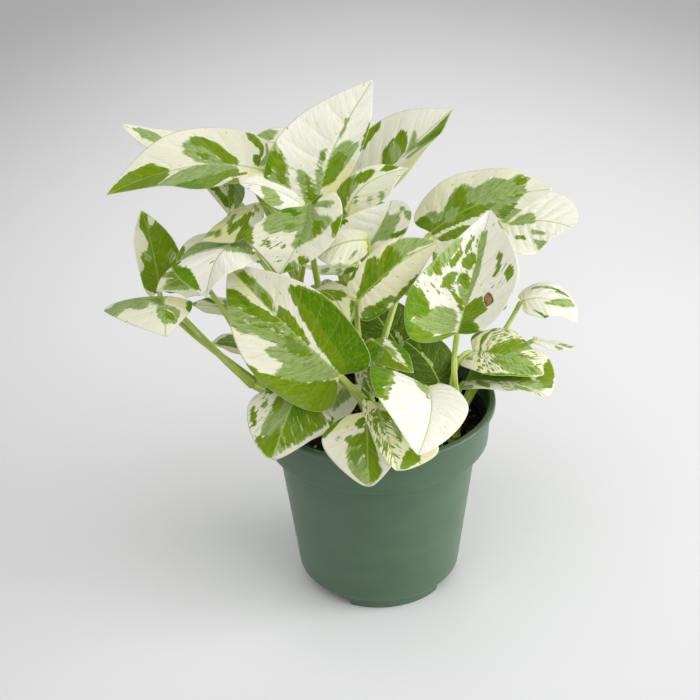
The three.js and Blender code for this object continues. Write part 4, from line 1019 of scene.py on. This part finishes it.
        ("grey", (-52, 92), (-10, 92), (0, 84), (5, 74), (-20, 80), (-44, 84)),
        ("green", (-34, 84), (-12, 78), (2, 70), (18, 62), (24, 55), (16, 48), (8, 38), (2, 30), (-8, 4),
         (-105, 2), (-105, 30), (-14, 34), (-12, 60), (-30, 74)),
        ("deep", (-10, 60), (0, 66), (5, 56), (0, 46), (-8, 50)),
        ("grey", (55, 78), (80, 80), (102, 70), (85, 60), (62, 66)),
        ("green", (8, 34), (18, 39), (50, 42), (95, 36), (60, 31), (25, 31)),
        ("grey", (55, 23), (105, 23), (105, 11), (60, 12)),
        ("green", (45, 9), (105, 12), (105, 1), (30, 1)),
        ("grey", (2, 20), (20, 22), (20, 4), (0, 2)),
    ]),
    "h4": ("white", [
        ("grey", (-85, 78), (-50, 82), (0, 82), (15, 80), (28, 70), (35, 58), (28, 55), (18, 68), (0, 70),
         (-40, 70), (-80, 72)),
        ("green", (-85, 65), (-70, 62), (-55, 58), (-70, 52), (-80, 58)),
        ("grey", (-70, 48), (-62, 48), (-58, 32), (-65, 30), (-72, 38)),
        ("deep", (60, 27), (75, 32), (88, 42), (98, 60), (105, 62), (105, 48), (85, 32), (70, 24)),
    ]),
    "h5": ("white", [
        ("grey", (-60, 80), (0, 88), (60, 92), (105, 88), (40, 80), (-20, 74)),
        ("grey", (50, 66), (90, 68), (105, 62), (60, 60)),
    ]),
    "i1": ("white", [
        ("grey", (-25, 55), (-10, 62), (5, 64), (10, 50), (5, 30), (-5, 38), (-20, 45)),
        ("grey", (60, 55), (70, 66), (105, 78), (105, 60), (80, 60)),
        ("grey", (30, 60), (50, 74), (55, 72), (38, 55)),
        ("green", (40, 45), (50, 48), (50, 33), (42, 35)),
    ]),
    "i2": ("green", [
        ("cream", (-105, 70), (-60, 80), (-20, 85), (-30, 65), (-70, 50), (-105, 45)),
        ("grey", (10, 10), (20, 40), (60, 60), (105, 60), (105, 35), (60, 25), (30, 8)),
        ("deep", (5, 60), (30, 85), (70, 88), (50, 70), (20, 55)),
    ]),
    "i3": ("cream", [
        ("deep", (-105, 30), (-60, 35), (-20, 50), (0, 80), (-40, 75), (-105, 65)),
        ("grey", (5, 20), (20, 50), (50, 70), (80, 70), (50, 40), (20, 15)),
        ("green", (30, 30), (60, 50), (105, 50), (105, 25), (60, 20)),
    ]),
    "j1": ("painted_shade", [
        ("grey", (-105, 20), (-50, 30), (-10, 60), (-30, 75), (-80, 60), (-105, 50)),
        ("cream", (-60, 40), (-25, 58), (-40, 66), (-80, 55)),
        ("green", (10, 20), (40, 60), (90, 80), (105, 60), (60, 30)),
    ]),
    "j2": ("green", [
        ("cream", (0, 20), (20, 55), (60, 75), (105, 80), (105, 50), (60, 35), (25, 12)),
        ("grey", (-105, 75), (-50, 85), (-10, 88), (-20, 72), (-60, 62), (-105, 60)),
        ("deep", (-105, 20), (-50, 25), (-10, 50), (-40, 55), (-105, 45)),
    ]),
    "j3": ("cream", [
        ("green", (-105, 10), (-50, 20), (-5, 55), (-5, 85), (-60, 75), (-105, 60)),
        ("grey", (10, 40), (40, 70), (80, 85), (105, 75), (60, 50), (20, 30)),
        ("flecks", (0, 10), (0, 95), (105, 95), (105, 10)),
    ]),
    "j4": ("green", [
        ("deep", (0, 10), (10, 50), (40, 85), (105, 85), (105, 30), (50, 20)),
        ("cream", (-105, 45), (-60, 55), (-25, 80), (-60, 88), (-105, 80)),
    ]),
}


def blade_surface(row, u, v):
    """Blade without thickness. u runs from -1 to 1 across it, v from 0 at the stalk to 1 at the
    tip. The midrib is a parabola. Each half hangs from it along a lateral vein that leans to the
    tip, bent into an arc, and the sine outline is pulled back beside the stalk into two lobes."""
    base, middle, tip, left, right = (np.array(point, float) for point in row[:5])
    cup, fullness = row[5:7]
    lift = 2 * middle - base / 2 - tip / 2

    def rib(t):
        on = np.maximum(t, 0)[..., None]
        back = 2 * (lift - base) * np.minimum(t, 0)[..., None]
        return base * (1 - on) ** 2 + 2 * lift * on * (1 - on) + tip * on**2 + back

    def heading(t):
        on = np.maximum(t, 0)[..., None]
        return unit((lift - base) * (1 - on) + (tip - lift) * on)

    across = np.maximum(np.sin(np.pi * v**0.84), 0) ** fullness
    edge = v**1.22 - 2.4 * v * (1 - v) ** 5
    f = np.abs(u)
    t = v**1.9 + (edge - v**1.9) * f**1.4
    ahead = heading(t)
    widest = np.array(WIDEST)
    out = np.where((u < 0)[..., None], left, right) - rib(widest)
    lean = out @ heading(widest)
    width = np.sqrt((out**2).sum(-1) - lean**2) * across
    side = unit(out - (out * ahead).sum(-1, keepdims=True) * ahead)
    up = np.cross(side, ahead) * np.where(u < 0, -1, 1)[..., None]
    turn = np.radians(cup) * across + 1e-4
    swing = (f - 0.5) * turn
    return (rib(t) + ahead * (lean * across * f)[..., None]
            + side * (width * (np.sin(swing) + np.sin(turn / 2)) / turn)[..., None]
            + up * (width * (np.cos(turn / 2) - np.cos(swing)) / turn)[..., None])


def within(patch, x, y):
    """Distance in from the edge of a closed outline, and below 0 outside it: the least distance
    to any of its sides, signed by how many sides a line to the right crosses."""
    far = np.full(x.shape, 1e9)
    inside = np.zeros(x.shape, bool)
    for (ax, ay), (bx, by) in zip(patch, np.roll(patch, -1, 0)):
        dx, dy = bx - ax, by - ay
        s = np.clip(((x - ax) * dx + (y - ay) * dy) / (dx * dx + dy * dy + 1e-9), 0, 1)
        far = np.minimum(far, np.hypot(x - ax - s * dx, y - ay - s * dy))
        crossed = (ay > y) != (by > y)
        inside ^= crossed & (x < ax + (y - ay) * dx / np.where(dy == 0, 1e-9, dy))
    return np.where(inside, far, -far)


def painted(name, u, v, half_width, length):
    """Six fields over a blade. Four are the distance in millimetres into its patches of green,
    grey, deep green and flecks, the fifth into the brown spot of a bruise, and the last is how
    yellow the cream is, from 0 to 1, partly its own yellow and partly painted light for the light
    through and between leaves in shade, and it is 1.5 on a blade deep in shade, whose green is
    darkened as painted shade."""
    ground, patches = MARKS[name]
    start = {"grey": (-9, 9, -9), "green": (9, -9, -9), "deep": (9, -9, 9), "painted_shade": (9, -9, 9)}
    start = start.get(ground, (-9, -9, -9))
    green, grey, deep = (np.full(u.shape, float(level)) for level in start)
    flecks, brown = np.full(u.shape, -9.0), np.full(u.shape, -9.0)
    # Partly painted light: yellower cream for light through and between the leaves in shade; the ground of
    # blades deep among the others is painted shade
    yellow_and_shade = np.full(u.shape, {"white": 0.0, "yellow": 0.5, "painted_shade": 1.5}.get(ground, 0.2))
    x, y = u * half_width, v * length
    for tone, *outline in patches:
        patch = np.array(outline) / 100 * (half_width, length)
        depth = within(patch, x, y)
        if tone in ("flecks", "specks"):
            flecks = np.maximum(flecks, np.minimum(depth, 9 if tone == "flecks" else 0.4))
            continue
        if tone == "brown":
            brown = depth
            continue
        if tone == "yellow":
            yellow_and_shade = np.maximum(yellow_and_shade, 0.8 * smooth_step(depth, -1.5, 2.5))
            continue
        deep = np.maximum(deep, depth) if tone == "deep" else np.minimum(deep, -depth)
        green = np.maximum(green, depth) if tone in ("green", "deep") else np.minimum(green, -depth)
        grey = np.maximum(grey, depth) if tone == "grey" else np.minimum(grey, -depth)
    return tuple(np.clip(field, -6, 6) for field in (green, grey, deep, flecks, brown, yellow_and_shade))


def both_faces(upper, lower):
    """Ring order of a blade's section: the upper face from left to right, and the lower one back
    without its two edge points, which the faces share."""
    return np.concatenate([upper, lower[:, -2:0:-1]], 1)


def leaf_blade(name, row, number):
    """Blade piece: the surface with its waves, lifted between the veins by the height of a
    rounded ridge, and given thickness that thins to a fine edge."""
    draw = np.random.default_rng(40 + number)
    points = np.array(row[:5], float)
    length = np.linalg.norm(points[1] - points[0]) + np.linalg.norm(points[2] - points[1])
    half_width = np.linalg.norm(points[4] - points[3]) / 2
    size = min(1, max(length, 2 * half_width) / 46)
    rows, half = round(BLADE_ROWS * max(0.6, size)), round(BLADE_HALF * max(0.7, size))
    s = np.linspace(-1, 1, 2 * half + 1)
    u, v = np.meshgrid(s - 0.6 * np.sin(math.tau * s) / math.tau, np.arange(1, rows) / rows)
    f = np.abs(u)
    flat = blade_surface(row, u, v)
    normal = unit(np.cross(np.gradient(flat, axis=1), np.gradient(flat, axis=0)))
    narrow = np.sin(np.pi * v**0.84)
    from_rib = f * half_width * narrow
    veins = 7 + round(2 * size)
    x = np.sign(u) * from_rib
    phase = veins * v + 0.25 * np.tanh(x / 1.5) + 0.08 * np.sin(9 * v + draw.random() * 6)
    ridge = np.abs(np.sin(np.pi * phase)) ** 0.6 - 0.7
    quilt = QUILT * size * ridge * smooth_step(f, 0.02, 0.3) * (1 - f**4) * smooth_step(narrow, 0, 0.5)
    swell = np.where(u < 0, draw.random(), draw.random() + 1) * math.tau
    waves = 1.5 + draw.random()
    wave = 0.016 * length * f**2.2 * narrow * np.sin(math.tau * waves * v + swell)
    middle = flat + normal * (quilt + wave)[..., None]
    thick = BLADE_T * (1 - 0.5 * f**4) * np.minimum(1, 1.6 * narrow) * (f < 0.999)
    rib_width = 0.4 + 0.8 * (1 - v)
    bell = np.exp(-((from_rib / rib_width) ** 2)) * smooth_step(narrow, 0, 0.25)
    upper = middle + normal * (thick / 2 - 0.3 * (1 - 0.5 * v) * bell)[..., None]
    lower = middle - normal * (thick / 2 + (0.15 + 0.75 * (1 - v)) * bell)[..., None]
    grid = both_faces(upper, lower)
    body = shell(grid, points[0], points[2])
    made = piece(f"blade_{name}", [body], blade_finish, "leaf", f"leaf_{name}")

    def kept(key, *fields):
        upper_under = [field if isinstance(field, tuple) else (field, field) for field in fields]
        values = [both_faces(above, below).ravel() for above, below in upper_under]
        ends = [np.concatenate([value[:1], value, value[-1:]]) for value in values]
        attribute(made, key, ends[0] if len(ends) == 1 else np.stack(ends, -1))

    green, grey, deep, flecks, brown, yellow_and_shade = painted(name, u, v, half_width, length)
    margin = (1 - f) * half_width * narrow
    kept("grain", x, v * length - 0.4 * np.abs(x) + 200 * number, (0 * u, 0 * u + 1))
    kept("ribs", from_rib / rib_width, phase, margin)
    kept("tones", green, grey, deep)
    glow = np.exp(-((from_rib / 6) ** 2)) * smooth_step(v, 0.4, 0.05)
    kept("spots", flecks, brown, np.maximum(glow, yellow_and_shade))


skin = Finish("blade_skin", Specular_IOR_Level=0.26, Specular_Tint=(1.0, 1.0, 0.3, 1.0),
              Subsurface_Weight=0.25, Subsurface_Scale=0.001, Subsurface_Radius=(1.0, 1.1, 0.3))
grain = skin.attribute("grain")
across, _, under = skin.split(grain)
rib, phase, margin = skin.split(skin.attribute("ribs"))
green, grey, deep = skin.split(skin.attribute("tones"))
fleck_depth, bruise, yellow_and_shade = skin.split(skin.attribute("spots"))
mirrored = skin.stretch(grain, (1, 1, 0))
ragged = skin.noise(skin.stretch(mirrored, (0.18, 0.5, 1)), 1.0, 3, 0.55)
jags = skin.noise(skin.stretch(mirrored, (0.4, 1.2, 1)), 1.0, 2, 0.55)
fine = skin.noise(mirrored, 3.0, 3, 0.6)
mottle = skin.noise(skin.stretch(mirrored, (0.3, 0.8, 1)), 1.0, 4, 0.6)
dapple = skin.noise(mirrored, 0.8, 3, 0.6)
cloud = skin.noise(skin.stretch(mirrored, (0.08, 0.16, 1)), 1.0, 2, 0.5)
edge = skin.sum("MULTIPLY_ADD", ragged, 3.4, -1.7)
edge = skin.sum("ADD", edge, skin.sum("MULTIPLY_ADD", jags, 1.4, -0.7))
edge = skin.sum("ADD", edge, skin.sum("MULTIPLY_ADD", fine, 0.4, -0.2))
softer = skin.sum("MULTIPLY_ADD", ragged, 4.0, -2.0)

cream = skin.mix(skin.fade(mottle, 0.35, 0.75), colour(CREAM), colour(CREAM_SHADE))
# Partly painted light: the cream turns yellow for light through and between the leaves in shade
cream = skin.mix(yellow_and_shade, cream, colour(YELLOW_AND_BOUNCE))
grey_tone = skin.mix(skin.fade(mottle, 0.22, 0.82), colour(GREY_PALE), colour(GREY_DEEP))
grey_tone = skin.mix(skin.fade(dapple, 0.5, 0.72, 0.0, 0.6), grey_tone, colour(GREEN_RICH))
green_tone = skin.mix(skin.fade(mottle, 0.3, 0.7), colour(GREEN), colour(GREEN_RICH))
green_tone = skin.mix(skin.fade(cloud, 0.5, 0.68, 0.0, 0.75), green_tone, colour(GREY_DEEP))
deep_tone = skin.mix(skin.fade(mottle, 0.3, 0.7), colour(DEEP), colour(DEEPEST))
in_deep = skin.fade(skin.sum("ADD", deep, softer), -0.4, 0.4)
green_tone = skin.mix(in_deep, green_tone, deep_tone)
# Painted shade: on blades deep among the others the green is darkened, where shade falls
green_tone = skin.mix(skin.fade(yellow_and_shade, 1.0, 1.5, 0.0, 0.85), green_tone, colour(PAINTED_SHADE_GREEN))
green_tone = skin.mix(skin.fade(dapple, 0.5, 0.75, 0.0, 0.3), green_tone, colour(RIB))
in_grey = skin.fade(skin.sum("ADD", grey, edge), -0.9, 0.1)
in_green = skin.fade(skin.sum("ADD", green, edge), -0.6, 0.0)

spots = skin.noise(skin.stretch(mirrored, (0.42, 0.85, 1)), 1.0, 2, 0.5)
in_flecks = skin.fade(fleck_depth, -1.0, 1.5, 0.0, 0.19)
in_flecks = skin.sum("ADD", in_flecks, skin.fade(fine, 0.3, 0.7, -0.03, 0.03))
fleck = skin.fade(skin.sum("ADD", spots, in_flecks), 0.70, 0.735)
fleck_tone = skin.mix(skin.fade(ragged, 0.4, 0.6), colour(FLECK), colour(FLECK_PALE))
tint = skin.mix(in_grey, cream, grey_tone)
tint = skin.mix(fleck, tint, fleck_tone)
pale_fleck = skin.fade(skin.sum("ADD", mottle, in_flecks), 0.76, 0.84, 0.0, 0.8)
green_tone = skin.mix(pale_fleck, green_tone, colour(FLECK_IN_GREEN))
tint = skin.mix(in_green, tint, green_tone)

from_vein = skin.sum("FRACT", skin.sum("ADD", phase, 0.5))
from_vein = skin.sum("ABSOLUTE", skin.sum("SUBTRACT", from_vein, 0.5))
vein = skin.fade(from_vein, 0.07, 0.0)
vein_shown = skin.sum("MULTIPLY", vein, skin.fade(margin, 0.5, 3.0, 0.0, 0.2))
tint = skin.mix(vein_shown, tint, colour(RIB))
rib_line = skin.fade(rib, 0.65, 0.25, 0.0, 0.7)
tint = skin.mix(rib_line, tint, colour(RIB))
tint = skin.mix(skin.fade(margin, 0.35, 0.1, 0.0, 0.5), tint, colour(MARGIN))
tint = skin.mix(skin.sum("MULTIPLY", under, 0.3), tint, colour(UNDERSIDE))
bruise = skin.sum("ADD", bruise, skin.sum("MULTIPLY_ADD", fine, 0.6, -0.3))
spot = skin.mix(skin.fade(bruise, 0.2, 0.9), colour(BROWN_RIM), colour(BROWN))
tint = skin.mix(skin.fade(bruise, -0.1, 0.2), tint, spot)
matt = skin.fade(mottle, 0.3, 0.7, 0.4, 0.5)
matt = skin.sum("ADD", matt, skin.sum("MULTIPLY", under, 0.15))
pores = skin.bump(skin.noise(mirrored, 6.0, 2), 0.03)
puckers = skin.bump(skin.noise(skin.stretch(mirrored, (0.22, 0.5, 1)), 1.0, 2), 0.4, pores)
blade_finish = skin.finish(tint, matt, puckers)

for number, (name, row) in enumerate(BLADES.items()):
    leaf_blade(name, row, number)


# Floor, light and camera
# A wide pale sheet that the pot stands on, lit by a big soft light and a low one from the right,
# a wider one overhead, a small one on the sheet behind and a dim room. The sheet's colour darkens
# away from an oval behind the pot, a painted pool of light. The camera stands in front and looks
# down at the leaves.
FLOOR_R = 4000
CAMERA_AT, CAMERA_AIM = (0, -572.3, 432.1), (-11.5, 0, 118.4)
CAMERA_ROLL = -1.5
LENS = 75.1
PLANT = (0, 0, 120)
KEY_AT, KEY_SIZE, KEY_POWER = (1000, -450, 510), 1500, 10
TOP_AT, TOP_SIZE, TOP_POWER = (-250, -480, 1150), 1800, 7.1
SIDE_AT, SIDE_SIZE, SIDE_POWER = (1100, -50, 230), 700, 5
BACK_AT, BACK_AIM, BACK_SIZE, BACK_POWER = (0, 1500, 900), (0, 1100, 0), 900, 2.4
ROOM_LIGHT = 0.37
SHEET = (252, 252, 253)
# Painted shade on the sheet: a pool of light, darker away from an oval behind the pot
PAINTED_POOL_EDGES, PAINTED_SHADE_MOST = (0.13, 0.55), 0.4
PAINTED_POOL_AWAY, PAINTED_POOL_NARROWING = 0.35, 0.6


def aimed(made, at, aim, roll=0.0):
    """Places a light or camera at a point, looking at another, turned about its line of sight."""
    look = (Vector(aim) - Vector(at)).to_track_quat("-Z", "Y")
    made.rotation_mode = "QUATERNION"
    made.rotation_quaternion = look @ Quaternion((0, 0, 1), math.radians(roll))
    made.location = Vector(at) / 1000
    bpy.context.collection.objects.link(made)


def soft_light(name, at, aim, size, power):
    data = bpy.data.lights.new(name, "AREA")
    data.shape = "DISK"
    data.size = size / 1000
    data.energy = power
    aimed(bpy.data.objects.new(name, data), at, aim)


sheet = Finish("floor_sheet", Specular_IOR_Level=0.1)
place = sheet.place()
# Painted shade: the sheet's colour darkens away from an oval behind the pot, a painted pool of light, by at
# most the share set above
across, away, _ = sheet.split(place)
away = sheet.sum("MULTIPLY_ADD", away, PAINTED_POOL_NARROWING, -PAINTED_POOL_AWAY * PAINTED_POOL_NARROWING)
from_middle = sheet.sum("MULTIPLY_ADD", across, across, sheet.sum("MULTIPLY", away, away))
from_middle = sheet.sum("SQRT", from_middle)
tone = sheet.noise(place, 6, 2)
painted_pool = sheet.sum("ADD", from_middle, sheet.sum("MULTIPLY_ADD", tone, 0.02, -0.01))
tint = sheet.mix(sheet.fade(painted_pool, *PAINTED_POOL_EDGES, 0.0, PAINTED_SHADE_MOST), colour(SHEET), colour((0, 0, 0)))
ring = np.linspace(0, math.tau, 96, endpoint=False)
floor_profile = [(60, -0.02), (600, -0.02), (FLOOR_R, -0.02), (FLOOR_R, -20), (60, -20)]
floor_grid = turned(np.array(floor_profile), ring)
floor_grid = floor_grid[::-1]
points, quads, caps = shell(floor_grid, (0, 0, -20), (0, 0, -0.02))
mesh = bpy.data.meshes.new("floor")
mesh.from_pydata((points / 1000).tolist(), [], quads.tolist() + caps.tolist())
mesh.materials.append(sheet.finish(tint, 0.9, sheet.bump(tone, 0.1)))
floor = bpy.data.objects.new("floor", mesh)
bpy.context.collection.objects.link(floor)

soft_light("key_light", KEY_AT, PLANT, KEY_SIZE, KEY_POWER)
soft_light("top_light", TOP_AT, PLANT, TOP_SIZE, TOP_POWER)
soft_light("side_light", SIDE_AT, PLANT, SIDE_SIZE, SIDE_POWER)
soft_light("back_light", BACK_AT, BACK_AIM, BACK_SIZE, BACK_POWER)
room = bpy.data.worlds.new("room")
room.use_nodes = True
room.node_tree.nodes["Background"].inputs["Color"].default_value = (1, 1, 1, 1)
room.node_tree.nodes["Background"].inputs["Strength"].default_value = ROOM_LIGHT
bpy.context.scene.world = room
bpy.context.scene.view_settings.view_transform = "Standard"

camera = bpy.data.objects.new("camera", bpy.data.cameras.new("camera"))
camera.data.lens = LENS
camera.data.sensor_width = 36
aimed(camera, CAMERA_AT, CAMERA_AIM, CAMERA_ROLL)
bpy.context.scene.camera = camera
